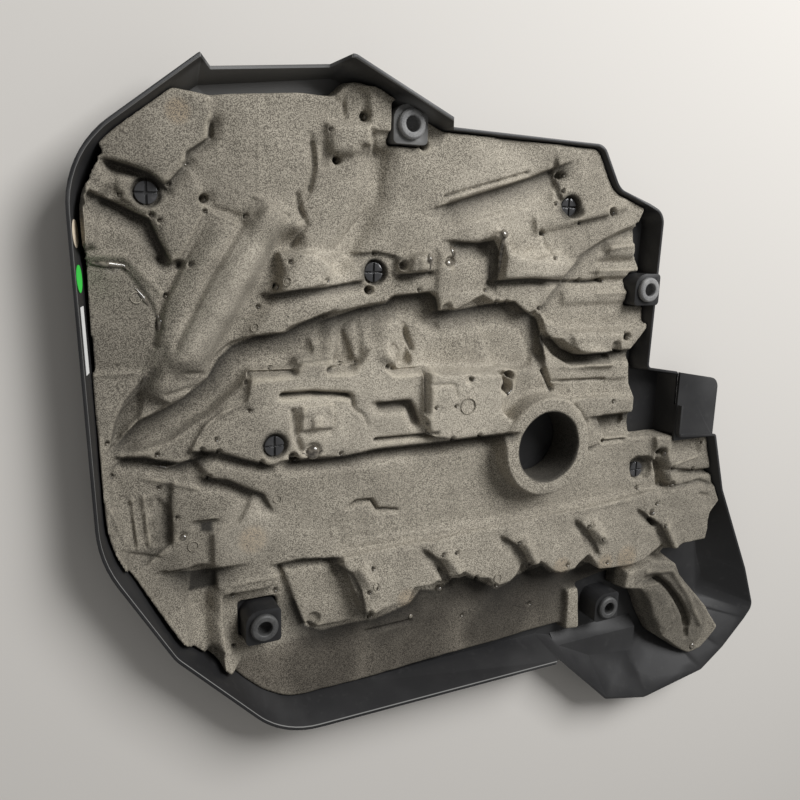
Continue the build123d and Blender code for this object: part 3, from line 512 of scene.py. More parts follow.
def press(mesh, levels=(), ledges=(), pads=(), slopes=(), strokes=(), dents=()):
    """Works lists of marks into the foam's top. The underside stays where the shell holds it."""
    points = points_of(mesh)
    spots = as_seen(points)
    lift = np.zeros(len(points))
    for row in levels:
        level(spots, lift, points[:, 2] / MM, *row)
    for work, rows in ((ledge, ledges), (pad, pads), (slope, slopes), (stroke, strokes), (dent, dents)):
        for row in rows:
            work(spots, lift, *row)
    move_top(mesh, points, lift)
    return lift


FOAM_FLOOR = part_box("foam_pad")[0][2]
FOAM_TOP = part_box("foam_pad")[1][2]
FOAM_LEAST = 3 * MM
FIXED_BELOW = FOAM_FLOOR + 1 * MM
FREE_ABOVE = FOAM_FLOOR + 5 * MM


def move_top(mesh, points, lift):
    """Lifts the points, less and less towards the underside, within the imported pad's height."""
    free = eased(points[:, 2], FIXED_BELOW, FREE_ABOVE)
    lowest = np.minimum(points[:, 2], FOAM_FLOOR + FOAM_LEAST)
    points[:, 2] = np.clip(points[:, 2] + lift * MM * free, lowest, FOAM_TOP)
    mesh.vertices.foreach_set("co", points.ravel())

# %% [markdown]
# ## First pass: ledges, troughs and swells
# The pad's strongest shapes are ledges: an edge with a dark drop below it and a floor that climbs back.
# Then come the broad trough and swell of the slanting bands, and raised blocks. They pull the small faces
# long, so the pad is remeshed afterwards.

# %% Large forms
LEDGES = [
    # corner, its clip and the pocket below
    ([(-256, 347), (-241, 363), (-241, 371), (-224, 382), (-221, 393)], 12, 6),
    ([(-295, 362), (-280, 358), (-268, 354), (-258, 346)], 14, 9),
    ([(-304, 336), (-292, 331), (-280, 325), (-270, 321), (-263, 305), (-259, 297)], 24, 12),
    ([(-322, 288), (-292, 288), (-283, 276), (-270, 256), (-264, 238)], 5, 1.5),
    # slanting bands, their feet and the channel
    ([(-306, 150), (-302, 166), (-294, 182), (-277, 202)], 16, 5),
    ([(-300, 150), (-285, 165), (-268, 172), (-250, 181), (-232, 195)], 22, 9),
    # the ravine across the pad
    ([(-229, 199), (-221, 212), (-210, 222), (-190, 229), (-165, 231), (-152, 238), (-138, 243)], 30, 17),
    ([(-130, 241), (-98, 250), (-72, 254), (-65, 260), (-30, 263), (-23, 258), (-20, 246)], 28, 16),
    ([(-20, 246), (-2, 246), (30, 251), (62, 253), (74, 244), (88, 236), (97, 215), (100, 203)], 30, 16),
    # pads, nub, tongue and the hollow beside it
    ([(-176, 263), (-150, 267), (-130, 268), (-100, 273)], 15, 9),
    ([(-98, 297), (-80, 298), (-60, 294)], 16, 6),
    ([(-58, 279), (-31, 281)], 9, 9),
    ([(-2, 308), (20, 307), (36, 310), (42, 300), (42, 276)], 24, 9),
    ([(40, 273), (80, 275), (113, 273)], 10, 10),
    # slant recess and the side field
    ([(-13, 341), (72, 367), (104, 379)], 30, 8),
    ([(103, 381), (106, 362), (110, 352)], 12, 6),
    ([(93, 248), (105, 262), (125, 283), (135, 296), (150, 305), (180, 318), (208, 327)], 13, 6),
    ([(132, 329), (172, 337)], 9, 4),
    ([(106, 217), (118, 206), (135, 199), (150, 198), (185, 200), (204, 200)], 18, 13),
    ([(180, 132), (217, 132)], 28, 10),
    # plate, terraces and rib panel
    ([(-160, 119), (-110, 118), (-80, 121), (66, 123)], 18, 12),
    ([(-297, 136), (-282, 135), (-270, 131), (-255, 127), (-238, 131)], 15, 11),
    ([(-238, 135), (-222, 133), (-200, 124), (-182, 118)], 13, 11),
    ([(-232, 112), (-215, 108), (-200, 99), (-185, 92), (-180, 82)], 15, 8),
    ([(-262, 102), (-263, 60), (-277, 49)], 22, 6),
    ([(-241, 75), (-229, 75)], 9, 7),
    ([(-75, 165), (-46, 165), (-38, 149)], 16, 9),
    # lower left pockets and the sunken facet
    ([(-254, 33), (-226, 31)], 34, 14),
    ([(-172, 25), (-150, 26), (-118, 22)], 12, 9),
    # shaded flanks of the coil fingers
    ([(-113, 13), (-100, 2), (-92, -15), (-87, -40)], 16, 7),
    ([(-21, 11), (-8, 0), (0, -12), (4, -22)], 16, 7),
    ([(69, 11), (82, 2), (92, -10), (98, -24)], 16, 7),
    ([(162, 14), (172, 5), (183, -10), (189, -20)], 16, 7),
    ([(249, 15), (262, 6), (278, -5), (288, -20), (300, -38)], 16, 7),
    # right end and spout
    ([(222, 76), (232, 82), (250, 80), (262, 72)], 16, 5),
    ([(282, 62), (300, 60), (320, 56), (345, 55), (360, 51)], 9, 6),
    ([(282, 42), (300, 41), (330, 44), (345, 38)], 8, 5),
    ([(260, -69), (280, -67), (297, -80), (312, -96), (327, -116), (337, -136), (339, -152)], 13, 8),
]
SWELLS = [
    ([(-180, 322), (-214, 265), (-244, 216)], 22, 12),
    ([(-214, 312), (-246, 258), (-268, 196)], 19, 8),
    ([(-198, 318), (-228, 273), (-254, 222)], 9, -3),
    ([(-160, 304), (-189, 257), (-219, 208)], 17, -10),
    ([(-78, 374), (-80, 345), (-95, 315), (-112, 290)], 19, -7),
    ([(-243, 8), (-243, -50)], 17, -9),
    ([(-234, -42), (-234, -64)], 10, -7),
    ([(266, 80), (275, 62), (278, 38)], 11, -9),
    ([(322, 92), (324, 78)], 7, -5),
    ([(130, 333), (184, 346)], 9, 4),
    ([(-3, 6), (13, -15)], 9, 4),
    ([(-91, 5), (-79, -18)], 9, 3),
    ([(88, 7), (105, -18)], 9, 5),
    ([(178, 9), (196, -8)], 9, 4),
    ([(286, -6), (302, -35)], 8, 4),
]
BLOCKS = [
    ([(-168, 297), (-124, 297), (-124, 271), (-130, 268), (-172, 262), (-165, 280)], 5, 5),
    ([(-48, 297), (-31, 297), (-31, 281), (-50, 281)], 6, 4),
    ([(48, 300), (60, 296), (100, 292), (132, 290), (118, 276), (46, 275)], 4, 6),
    ([(-126, 399), (-90, 401), (-88, 379), (-122, 379)], 4, 6),
    ([(130, 220), (198, 220), (198, 202), (140, 201)], 4, 5),
    ([(-249, 31), (-228, 29), (-227, 13), (-252, 15)], -22, 4),
]
SLOPES = [
    ([(108, 214), (186, 199), (186, 184), (112, 186)], (130, 204), (150, 182), 8, 6),
    ([(-360, 205), (-300, 205), (-285, 60), (-290, 30), (-360, 15)], (-304, 100), (-332, 96), 16, 10),
    ([(-360, 60), (-290, 60), (-225, -15), (-212, -60), (-250, -95), (-360, 20)],
     (-262, 22), (-288, -6), 22, 10),
]
LEVELS = [
    ([(-345, 380), (-300, 372), (-296, 345), (-304, 337), (-309, 300), (-345, 297)], 33, 8),
    ([(-312, 342), (-290, 334), (-266, 324), (-256, 294), (-275, 288), (-345, 290), (-345, 305)], 25, 8),
    ([(-4, 306), (36, 309), (41, 277), (36, 266), (18, 262), (-4, 264)], 20, 8),
    ([(-222, 348), (-192, 352), (-174, 340), (-190, 324), (-222, 331)], 23, 6),
    ([(-117, 430), (-92, 431), (-90, 403), (-117, 402)], 23, 5),
    ([(-345, 290), (-292, 288), (-283, 276), (-270, 256), (-264, 238), (-275, 206), (-345, 205)], 21, 6),
]
LEDGE_REACH = 0.85
LEDGE_DROP = 1.2
ledges = [(path, reach * LEDGE_REACH, drop * LEDGE_DROP) for path, reach, drop in LEDGES]
lift = press(foam.data, LEVELS, ledges, BLOCKS, SLOPES, SWELLS)
print(len(LEDGES), "ledges,", len(SWELLS), "swells and", len(BLOCKS), "blocks:", span(lift))

# %% Remesh once more
FOAM_FINE = 1.6 * MM
even_skin(foam, FOAM_FINE, 1)
print("foam skin after the large forms:", len(foam.data.vertices), "points")

# %% [markdown]
# ## A calm floor in the ravine
# Where several ledges meet, their drops add up to ragged teeth. Blurring the heights over the mesh's
# edges, only inside an outline, calms that floor before the small marks go in.

# %% Calm patches
CALM = [
    ([(-150, 238), (-95, 243), (-40, 243), (-38, 206), (-100, 203), (-150, 206)], 40),
    ([(-235, 8), (-228, 60), (-222, 60), (-222, -20), (-235, -30)], 12),
]
CALM_EDGE = 8.0


def edges_of(mesh):
    flat = np.empty(len(mesh.edges) * 2, dtype=np.int32)
    mesh.edges.foreach_get("vertices", flat)
    return flat.reshape(-1, 2)


def blurred(values, edges, rounds):
    count = np.bincount(edges.ravel(), minlength=len(values)) + 1
    for _ in range(rounds):
        total = values + np.bincount(edges[:, 0], values[edges[:, 1]], len(values))
        total += np.bincount(edges[:, 1], values[edges[:, 0]], len(values))
        values = total / count
    return values


points = points_of(foam.data)
spots = as_seen(points)
for outline, rounds in CALM:
    calm = blurred(points[:, 2] / MM, edges_of(foam.data), rounds)
    lift = (calm - points[:, 2] / MM) * eased(within(spots, outline), 0.0, CALM_EDGE)
    move_top(foam.data, points, lift)
    print("calm patch moved the foam by up to", abs(lift).max().round(1), "mm")

# %% [markdown]
# ## Second pass: creases, slots and dimples
# Now the small marks: thin creases, slots between the plates, ribs and the round dimples of the mould.

# %% Small marks
CREASES = [
    # corner and upper field
    ([(-222, 394), (-222, 384)], 3.5, -5),
    ([(-320, 294), (-290, 294), (-262, 264)], 5, 1.5),
    ([(-320, 204), (-285, 204)], 5, 1.5),
    ([(-309, 323), (-309, 323)], 7, -2),
    ([(-185, 415), (-185, 340)], 3, 0.7),
    ([(-213, 345), (-205, 344), (-200, 338)], 2.5, -0.8),
    ([(-225, 327), (-200, 318)], 4, 2.5),
    ([(-226, 326), (-246, 290), (-262, 258), (-270, 225)], 5, -4),
    ([(-199, 318), (-228, 273), (-254, 222)], 6, -3),
    ([(-188, 340), (-160, 329)], 4, 2.5),
    ([(-141, 390), (-139, 365), (-143, 347)], 4, -3),
    ([(-153, 343), (-151, 333), (-145, 320), (-158, 302)], 4.5, -4),
    ([(-120, 420), (-113, 416), (-112, 404)], 3.5, -2.5),
    ([(-128, 382), (-130, 368)], 8, -3),
    ([(-92, 333), (-121, 300)], 3.5, -2),
    ([(-88, 398), (-85, 378)], 4, -2.5),
    ([(-17, 347), (70, 372)], 2.4, -4),
    ([(88, 319), (83, 305), (72, 299)], 4, -1.8),
    ([(88, 319), (94, 305), (104, 297)], 4, -1.8),
    ([(-45, 333), (-30, 329), (-18, 331)], 4, -1),
    # side field
    ([(165, 304), (200, 308)], 6, 2.5),
    ([(160, 290), (203, 291)], 6, -2.5),
    ([(150, 282), (203, 283)], 4, 2),
    ([(165, 272), (203, 273)], 7, -3),
    ([(160, 260), (205, 261)], 6, 2),
    ([(118, 271), (150, 271), (166, 273)], 4, -7),
    ([(130, 218), (200, 219)], 3, -1.5),
    ([(100, 184), (112, 163)], 4.5, -5),
    ([(112, 173), (178, 171)], 2.6, -3.5),
    ([(143, 146), (162, 125)], 3, -2.5),
    ([(130, 154), (185, 156)], 4, -1.5),
    ([(183, 103), (211, 103)], 3.5, -5),
    # left terraces, channel and rib panel
    ([(-285, 148), (-240, 162), (-200, 178)], 7, 2.5),
    ([(-236, 146), (-222, 158), (-200, 168)], 7, -3),
    ([(-282, 118), (-262, 112), (-240, 104)], 4, 2),
    ([(-308, 94), (-298, 66)], 5, 2.5),
    ([(-303, 57), (-275, 48)], 4, -3),
    ([(-293, 101), (-290, 60)], 3.4, 3),
    ([(-284, 103), (-281, 60)], 3.4, 2.4),
    ([(-245, 201), (-233, 200), (-240, 190), (-262, 184)], 3.5, -2.5),
    # plate
    ([(-194, 197), (-156, 196)], 6, -10),
    ([(-123, 196), (-103, 197)], 7, -10),
    ([(-152, 206), (-125, 207)], 2.6, -3),
    ([(-167, 177), (-140, 177), (-107, 173)], 5.2, -9),
    ([(-104, 172), (-102, 162), (-92, 154), (-88, 146)], 2.8, -2.5),
    ([(-158, 163), (-155, 140), (-150, 126)], 5.5, -5),
    ([(-68, 197), (-62, 192), (-31, 192), (-28, 186), (-27, 151)], 6, -9),
    ([(-22, 177), (1, 176), (4, 164)], 2.6, -2.5),
    ([(-44, 158), (-36, 144)], 5, -5),
    ([(-80, 130), (-16, 130)], 3.4, -6),
    ([(-54, 238), (-52, 226), (-46, 212)], 5, -5),
    ([(-72, 236), (-68, 212)], 20, 7),
    ([(-126, 238), (-124, 214)], 14, 5),
    ([(-100, 236), (-97, 212)], 7, -2.5),
    ([(-107, 69), (-99, 74), (-83, 73), (-77, 63), (-57, 60)], 3.4, -4.5),
    ([(-20, 187), (48, 187)], 4, 1),
    # coil row, strip and spout
    ([(-215, 13), (-175, 14)], 4, 1.5),
    ([(-100, 34), (60, 33), (225, 33)], 8, 1.5),
    ([(-87, -59), (-40, -57)], 3.6, -5),
    ([(262, -58), (300, -63), (330, -100), (355, -142)], 7, 3),
    ([(262, -76), (282, -76), (303, -97), (314, -120), (310, -137), (298, -142)], 3.5, 2),
    ([(290, 67), (322, 73)], 4, 2),
    ([(333, 25), (345, 22)], 5, -3),
]
DENTS = [
    (-229, 337, 4.5, 3), (-250, 287, 4.8, 3), (-119, 372, 4.2, 6), (-95, 408, 5, 7), (-171, 269, 4, 6),
    (-88, 265, 4.8, 5), (-157, 121, 5.5, 7), (-140, 126, 9, 4), (172, 340, 4.5, 5), (271, 83, 5, 5),
    (-83, -43, 5, 5), (-10, -27, 7, 5), (-55, 286, 5, 8), (60, 180, 7, 12), (59, 170, 6.5, 12),
    (-140, -35, 8, 5), (204, 214, 5, 7), (192, 204, 7, 6), (-9, 290, 6, 6), (-10, 247, 7, 6),
    (287, 43, 5, 4), (262, 12, 5, 4), (16, 180, 5, 3), (-254, 64, 4.5, 2.5), (-71, 390, 4.5, 14),
    (-39, 389, 5, 14),
]
PIPS = [
    (-262, 320), (-196, 325), (29, 264), (-258, 80), (-231, 113), (-272, 108), (-307, 122), (-309, 149),
    (-290, 338), (-255, 347), (-242, 362), (-268, 324), (-260, 263), (-187, 253), (-159, 289),
    (-127, 274), (-224, 144), (-186, 121), (-195, 166), (-198, 191), (-178, 202), (-115, 202),
    (-100, 202), (-114, 121), (-18, 155), (3, 155), (20, 180), (-27, 141), (-27, 133), (0, 124),
    (30, 124), (193, 146), (183, 104), (237, 45), (268, 22), (285, -7), (173, 9), (195, -9), (203, -38),
    (148, -31), (34, -25), (10, 5), (-5, 6), (84, 4), (100, -22), (-80, 4), (18, -63), (101, -67),
    (318, 58), (286, 62), (327, 89), (110, 371), (111, 357), (137, 273), (165, 272), (-124, 396),
    (-84, 297), (-40, 265), (42, 253), (53, 253), (91, 246), (107, 294), (90, 317), (104, 345),
    (133, 328), (206, 328), (-222, 134), (-236, 137), (-272, 136), (-240, 287), (-228, 328), (-176, 1),
    (-214, 3), (-214, -45), (-75, -17), (-84, -19), (58, -38),
]
PIP_RADIUS = 2.6
PIP_DEPTH = 4.0
DENTS += [(x, y, PIP_RADIUS, PIP_DEPTH) for x, y in PIPS]
CREASE_WIDTH = 0.8
creases = [(path, width * CREASE_WIDTH, rise) for path, width, rise in CREASES]
SMALL_BLOCKS = [
    ([(-152, 168), (-122, 168), (-122, 146), (-152, 146)], 5, 2.5),
    ([(-142, 157), (-133, 157), (-133, 148), (-142, 148)], 2, 2),
    ([(-40, 293), (-31, 294), (-31, 283), (-40, 282)], 2, 2),
]
lift = press(foam.data, pads=SMALL_BLOCKS, strokes=creases, dents=DENTS)
print(len(CREASES), "creases and", len(DENTS), "dents:", span(lift))

# %% [markdown]
# ## The sway of soft foam
# No face of the real pad is flat. A sum of long waves with a fixed seed lets the whole top sway by up to
# two millimetres. The underside stays where the shell holds it, so the lift fades out near it.

# %% Sway
SWAY_SEED = 11
SWAY_WAVES = [(0.55, 90.0), (0.40, 48.0), (0.25, 22.0)]
SWAY_EACH = 5

chance = np.random.default_rng(SWAY_SEED)
points = points_of(foam.data)
spots = as_seen(points)
lift = np.zeros(len(points))
for swing, length in SWAY_WAVES:
    for _ in range(SWAY_EACH):
        heading = chance.uniform(0, math.tau)
        start = chance.uniform(0, math.tau)
        across = spots @ (math.cos(heading), math.sin(heading))
        lift += swing / 2 * np.sin(across * math.tau / length + start)
move_top(foam.data, points, lift)
print("sway:", span(lift))

# %% [markdown]
# ## Where the pad is drawn pale, painted lighter and darker, stained or filmed over
# A point that stands above its surroundings is drawn paler, and one that lies below them gets painted
# shade. We blur the heights over the mesh's edges and compare. Painted shade also goes below each ledge,
# under the coil row, round the retainers, in the filler's bore and in a few pockets, and the pad is
# painted darker towards its left and right ends and on listed patches. Patches of painted light, stains
# and glossy films are spots on the plan.

# %% Values on the pad's points
NEAR_ROUNDS = 20
FAR_ROUNDS = 130
# Strengths of painted shade in creases, wide hollows, the filler's bore, the clip bowls and round the
# spout.
NEAR_DARK = 0.8
FAR_DARK = 0.25
BORE_DARK = 0.9
BOWL_DARK = 0.85
SPOUT_DARK = 0.30
# Painted shade: the pad darkens towards its left and right ends.
LEFT_END_SHADE = 0.75
RIGHT_END_SHADE = 0.65
# The rise over which a raised point turns pale.
RAISED_PALE_RISE = (0.5, 3.0)
NEAR_DEPTH = (1.6, 5.0)
FAR_DEPTH = (5.0, 18.0)
FACET_HEIGHT = (22.0, 14.0)
SPOT_CORE = 0.5
# Painted shade on the low strip: where the foam lies low inside this outline.
STRIP_SHADE_HEIGHT = (19.0, 10.0)
STRIP_EDGE = (-4.0, 8.0)
STRIP_SEEN = [
    (-225, -60), (-160, -48), (-90, -42), (30, -25), (170, -36), (320, -40), (320, -200), (-225, -200),
]
SHADE_REACH = 0.80
SHADE_DROP = 12.0
SHADE_LIP = (-1.2, 0.6)
FILLER = (96.5, 112.0)
FILLER_BORE = 69.5
BORE_RIM = (2.5, 1.0)
# Painted shade in the bowl round each retainer.
CLIP_BOWLS = [
    (-271, 341, 16), (-84, 282, 16), (119, 343, 16), (-174, 135, 16), (234, 70, 14),
]
# Pockets painted black, as shade.
POCKET_SHADE_OUTLINES = [
    [(-250, 32), (-227, 31), (-227, 15), (-252, 14)],
    [(-240, 75), (-229, 75), (-229, 64), (-240, 66)],
]
POCKET_EDGE = (-1.5, 2.0)
SPOUT_SHADE = [
    (272, -72, 34), (290, -88, 44), (312, -118, 46), (334, -148, 36),
]
# Painted shadow on the low strip below the edges of the coil row's facets.
FACET_EDGES = [
    ([(-157, -15), (-148, -39), (-133, -47), (-88, -46), (-76, -47)], 30, 12),
    ([(-76, -47), (-41, -38), (-30, -26), (-16, -29), (0, -25)], 44, 14),
    ([(0, -25), (14, -11), (23, -22), (36, -28), (59, -42), (75, -37), (91, -29)], 74, 14),
    ([(91, -29), (114, -25), (125, -35), (149, -39), (176, -33)], 110, 14),
    ([(176, -33), (205, -43), (232, -45), (261, -42), (281, -50), (311, -44), (331, -37)], 56, 14),
]
# Where the painted shade towards each end runs, and round patches of painted shade.
LEFT_END_SHADE_SPAN = (-90.0, -330.0)
RIGHT_END_SHADE_SPAN = (170.0, 310.0)
SHADE_PATCHES = [
    (-285, 25, 40), (-300, 262, 34), (-300, 230, 34), (-275, 20, 30), (-270, 75, 14), (-40, -90, 60),
    (60, -85, 50), (-130, -85, 50), (295, -95, 46), (330, -140, 40),
]
# Round patches of painted light.
LIGHT_PATCHES = [
    (-200, 62, 34), (-60, 165, 75), (20, 160, 60), (-140, 155, 60), (-125, 282, 40), (90, 285, 40),
    (-200, 292, 26), (40, 350, 60), (-216, 264, 26), (-234, 234, 24),
]
STAINS = [
    (-246, 400, 12), (-195, 52, 16), (-45, -32, 12), (140, -32, 14), (230, -36, 18), (200, -38, 14),
]
FILMS = [
    (-8, 304, 7), (-8, 285, 8), (45, 315, 8), (43, 296, 7), (-29, 292, 7), (-298, 286, 7),
    (-280, 268, 7), (-266, 246, 5), (-277, 200, 6), (60, 164, 6), (-140, -35, 9), (-140, 124, 9),
    (347, -171, 8),
]


def spots_mask(places):
    mask = np.zeros(len(spots))
    for x, y, radius in places:
        gap = np.hypot(spots[:, 0] - x, spots[:, 1] - y)
        mask = np.maximum(mask, eased(gap, radius, radius * SPOT_CORE))
    return mask


def shade_under(ledges):
    """Painted shade in the angle below each ledge: full at the edge, fading over a share of its reach."""
    shade = np.zeros(len(spots))
    for path, reach, drop in ledges:
        fade = reach * SHADE_REACH
        chosen = near(spots, path, fade)
        signed = past(spots[chosen], path)
        share = eased(signed, *SHADE_LIP) * np.clip(1 - signed / fade, 0.0, 1.0)
        shade[chosen] = np.maximum(shade[chosen], share * min(drop / SHADE_DROP, 1.0))
    return shade


edges = edges_of(foam.data)
heights = points[:, 2] / MM
nearby = blurred(heights, edges, NEAR_ROUNDS)
around = blurred(nearby, edges, FAR_ROUNDS)
stands_out = heights - nearby
spots = as_seen(points)
bore = np.hypot(points[:, 0] / MM - plan_x - FILLER[0], points[:, 1] / MM - plan_y - FILLER[1])
# Painted shade in creases, hollows, below ledges and facets, in the bore, the clip bowls, round the spout
# and in the pockets.
dark = [
    NEAR_DARK * eased(-stands_out, *NEAR_DEPTH),
    FAR_DARK * eased(around - heights, *FAR_DEPTH),
    shade_under(ledges),
    shade_under(FACET_EDGES) * eased(heights, *FACET_HEIGHT),
    BORE_DARK * eased(bore, *[FILLER_BORE / 2 + rim for rim in BORE_RIM]),
    BOWL_DARK * spots_mask(CLIP_BOWLS),
    SPOUT_DARK * spots_mask(SPOUT_SHADE),
]
dark += [eased(within(spots, outline), *POCKET_EDGE) for outline in POCKET_SHADE_OUTLINES]
# Painted shade towards the left and right ends, and on listed patches.
wide_shade = LEFT_END_SHADE * eased(spots[:, 0], *LEFT_END_SHADE_SPAN) + spots_mask(SHADE_PATCHES)
wide_shade += RIGHT_END_SHADE * eased(spots[:, 0], *RIGHT_END_SHADE_SPAN)
# Each point's values: how raised and pale, painted shade, painted shade on the low strip, broad painted
# shade, stains, painted light and glossy film.
on_points = {
    "raised_pale": eased(stands_out, *RAISED_PALE_RISE),
    "painted_shade": np.maximum.reduce(dark),
    "strip_shade": eased(within(spots, STRIP_SEEN), *STRIP_EDGE) * eased(heights, *STRIP_SHADE_HEIGHT),
    "broad_shade": np.clip(wide_shade, 0.0, 1.0),
    "stained": spots_mask(STAINS),
    "pale": spots_mask(LIGHT_PATCHES),
    "filmed": spots_mask(FILMS),
}
for name, values in on_points.items():
    layer = foam.data.attributes.new(name, "FLOAT", "POINT")
    layer.data.foreach_set("value", values.astype(np.float32))
print("heights above the near surroundings:", span(stands_out))

# %% [markdown]
# ## Merging the underside
# The pad rests on a flat shell, so its underside can be a few large faces.

# %% Few faces below, smooth shading on top
FACES_DOWN = -0.999
body = bmesh.new()
body.from_mesh(foam.data)
under = [face for face in body.faces
         if face.normal.z < FACES_DOWN and face.calc_center_median().z < FIXED_BELOW]
bmesh.ops.delete(body, geom=under, context="FACES")
rims = [edge for edge in body.edges if edge.is_boundary]
bmesh.ops.triangle_fill(body, edges=rims, use_beauty=True, normal=(0, 0, -1))
for face in body.faces:
    face.smooth = True
body.to_mesh(foam.data)
body.free()
foam.data.materials.append(foam_material)
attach(foam, "root")
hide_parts("foam_pad")
triangles = sum(len(face.vertices) - 2 for face in foam.data.polygons)
print("foam pad:", triangles, "triangles")

# %% [markdown]
# ## Vent beads and mould rings
# The mould lets air out through small vents. At each one the foam has a little hole with a glossy bead of
# cured skin in it, and at some of them the end of a mould pin left a thin ring. There are dozens, all
# alike, so one Geometry Nodes tree sets a bead or a ring on every point of a small cloud. Each point
# knows how the foam lies there and how large its mark is.

# %% Points on the foam under the eye
bpy.context.view_layer.update()
corners = [vertex.co for vertex in foam.data.vertices]
foam_tree = BVHTree.FromPolygons(corners, [face.vertices for face in foam.data.polygons])


def on_foam(x, y):
    """The place on the pad that the eye sees at a spot on the plan, and the way it faces."""
    aim = Vector(((x + plan_x) * MM, (y + plan_y) * MM, FIELD_HEIGHT * MM))
    place, facing, _, _ = foam_tree.ray_cast(eye, (aim - eye).normalized())
    return place, facing


BEAD_LIFT = 0.5 * MM


def cloud(name, marks):
    """A mesh of loose points with a facing and a size each."""
    found = [(on_foam(x, y), radius * MM) for x, y, radius in marks]
    found = [(place + facing * BEAD_LIFT, facing, radius) for (place, facing), radius in found if place]
    mesh = bpy.data.meshes.new(name)
    mesh.from_pydata([place for place, _, _ in found], [], [])
    facing_layer = mesh.attributes.new("facing", "FLOAT_VECTOR", "POINT")
    facing_layer.data.foreach_set("vector", [value for _, facing, _ in found for value in facing])
    size_layer = mesh.attributes.new("size", "FLOAT", "POINT")
    size_layer.data.foreach_set("value", [radius for _, _, radius in found])
    return put(name, mesh)


RINGS = [
    (-282, 262, 4.2), (-263, 320, 4), (59.5, -30, 4.2), (16, 154.5, 7.5), (-250, 287, 4.6),
    (-162, 273, 3.6), (-246, 54, 4.4), (-173, 86, 3.4), (147, -31, 3.6), (111, 357, 3.2),
    (-190, 236, 3.4), (-77, -14, 3.6),
]
BEADS = [
    (-229, 336, 3), (-119, 371, 2.4), (-95, 407, 3), (-171, 268, 2.4), (-88, 264, 2.8), (-157, 120, 3),
    (-140, 125, 6.5), (172, 338, 2.8), (271, 81, 3.2), (-83, -44, 3), (-10, -28, 4), (204, 213, 2.6),
    (287, 42, 3), (262, 12, 3), (-254, 63, 3.4), (347, -171, 4), (-40, -52, 2.4), (-8, 299, 5),
    (-11, 288, 4.4), (47, 316, 4.4),
]
PIP_BEAD = 0.6
PIP_SAG = 0.8
pip_beads = [(x, y - PIP_SAG, PIP_RADIUS * PIP_BEAD) for x, y in PIPS]
bead_cloud = cloud("vent_beads", pip_beads + BEADS)
ring_cloud = cloud("mould_rings", RINGS)
print(len(bead_cloud.data.vertices), "beads and", len(ring_cloud.data.vertices), "rings")

# %% A tree that sets one shape on every point


def point_value(tree, name, kind="FLOAT"):
    """A value that each point carries."""
    node = add(tree, "GeometryNodeInputNamedAttribute", {"Name": name}, data_type=kind)
    return node.outputs["Attribute"]


def end_tree(tree, shape, given, result, label):
    """Real geometry with smooth shading and the given finish, at the end of a tree."""
    real = add(tree, "GeometryNodeRealizeInstances", {"Geometry": shape})
    smooth = add(tree, "GeometryNodeSetShadeSmooth", {"Geometry": real.outputs["Geometry"]})
    coat = add(tree, "GeometryNodeSetMaterial",
               {"Geometry": smooth.outputs["Geometry"], "Material": given.outputs["Finish"]})
    plug(tree, result, {label: coat.outputs["Geometry"]})


def marks_tree(name, ring):
    """Geometry Nodes: a bead, or a ring, on every point, turned to its facing and scaled to its size."""
    tree, given, result = new_group(
        name, [("Points", "NodeSocketGeometry"), ("Thickness", "NodeSocketFloat"),
               ("Finish", "NodeSocketMaterial")], [("Marks", "NodeSocketGeometry")], "GeometryNodeTree")
    thickness = given.outputs["Thickness"]
    if ring:
        circle = add(tree, "GeometryNodeCurvePrimitiveCircle", {"Resolution": 24, "Radius": 1.0})
        section = add(tree, "GeometryNodeCurvePrimitiveCircle", {"Resolution": 6, "Radius": thickness})
        sweep = {"Curve": circle.outputs["Curve"], "Profile Curve": section.outputs["Curve"]}
        shape = add(tree, "GeometryNodeCurveToMesh", sweep).outputs["Mesh"]
    else:
        ball = add(tree, "GeometryNodeMeshUVSphere", {"Segments": 14, "Rings": 8})
        flat = add(tree, "ShaderNodeCombineXYZ", {"X": 1.0, "Y": 1.0, "Z": thickness})
        squash = {"Geometry": ball.outputs["Mesh"], "Scale": flat.outputs["Vector"]}
        shape = add(tree, "GeometryNodeTransform", squash).outputs["Geometry"]
    facing = point_value(tree, "facing", "FLOAT_VECTOR")
    turned = add(tree, "FunctionNodeAlignRotationToVector", {"Vector": facing}, axis="Z")
    placed = add(tree, "GeometryNodeInstanceOnPoints",
                 {"Points": given.outputs["Points"], "Instance": shape,
                  "Rotation": turned.outputs["Rotation"], "Scale": point_value(tree, "size")})
    end_tree(tree, placed.outputs["Instances"], given, result, "Marks")
    return tree


def grow(piece, tree, values):
    """Runs a tree on a piece of the foam and keeps the result as a plain mesh."""
    modifier = piece.modifiers.new("marks", "NODES")
    modifier.node_group = tree
    for item in tree.interface.items_tree:
        if item.name in values:
            modifier[item.identifier] = values[item.name]
    bake_modifiers(piece)
    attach(piece, "root")
    print(piece.name, "has", len(piece.data.polygons), "faces")


SKIN_DARK = (0.060, 0.052, 0.042)
SKIN_PALE = (0.230, 0.205, 0.165)
BEAD_FLAT = 0.55
RING_THIN = 0.10
skin_material, tree, shader, place = start_material("cured skin")
veil = use_group(tree, blotch_group, place, Scale=260.0, From=0.35, To=0.7)
colour = blend(tree, veil.outputs["Mask"], SKIN_DARK, SKIN_PALE)
plug(tree, shader, {"Base Color": colour, "Roughness": 0.12, "Coat Weight": 1.0, "Coat Roughness": 0.08})

grow(bead_cloud, marks_tree("vent beads", ring=False), {"Thickness": BEAD_FLAT, "Finish": skin_material})
grow(ring_cloud, marks_tree("mould rings", ring=True), {"Thickness": RING_THIN, "Finish": foam_material})

# %% [markdown]
# ## Runs of glossy skin
# Where the mould's halves meet, the cured skin runs along an edge as a thin wet-looking film. Each run is
# a line of points on the foam. A second small tree turns the line into a round thread that thins out at
# its ends.

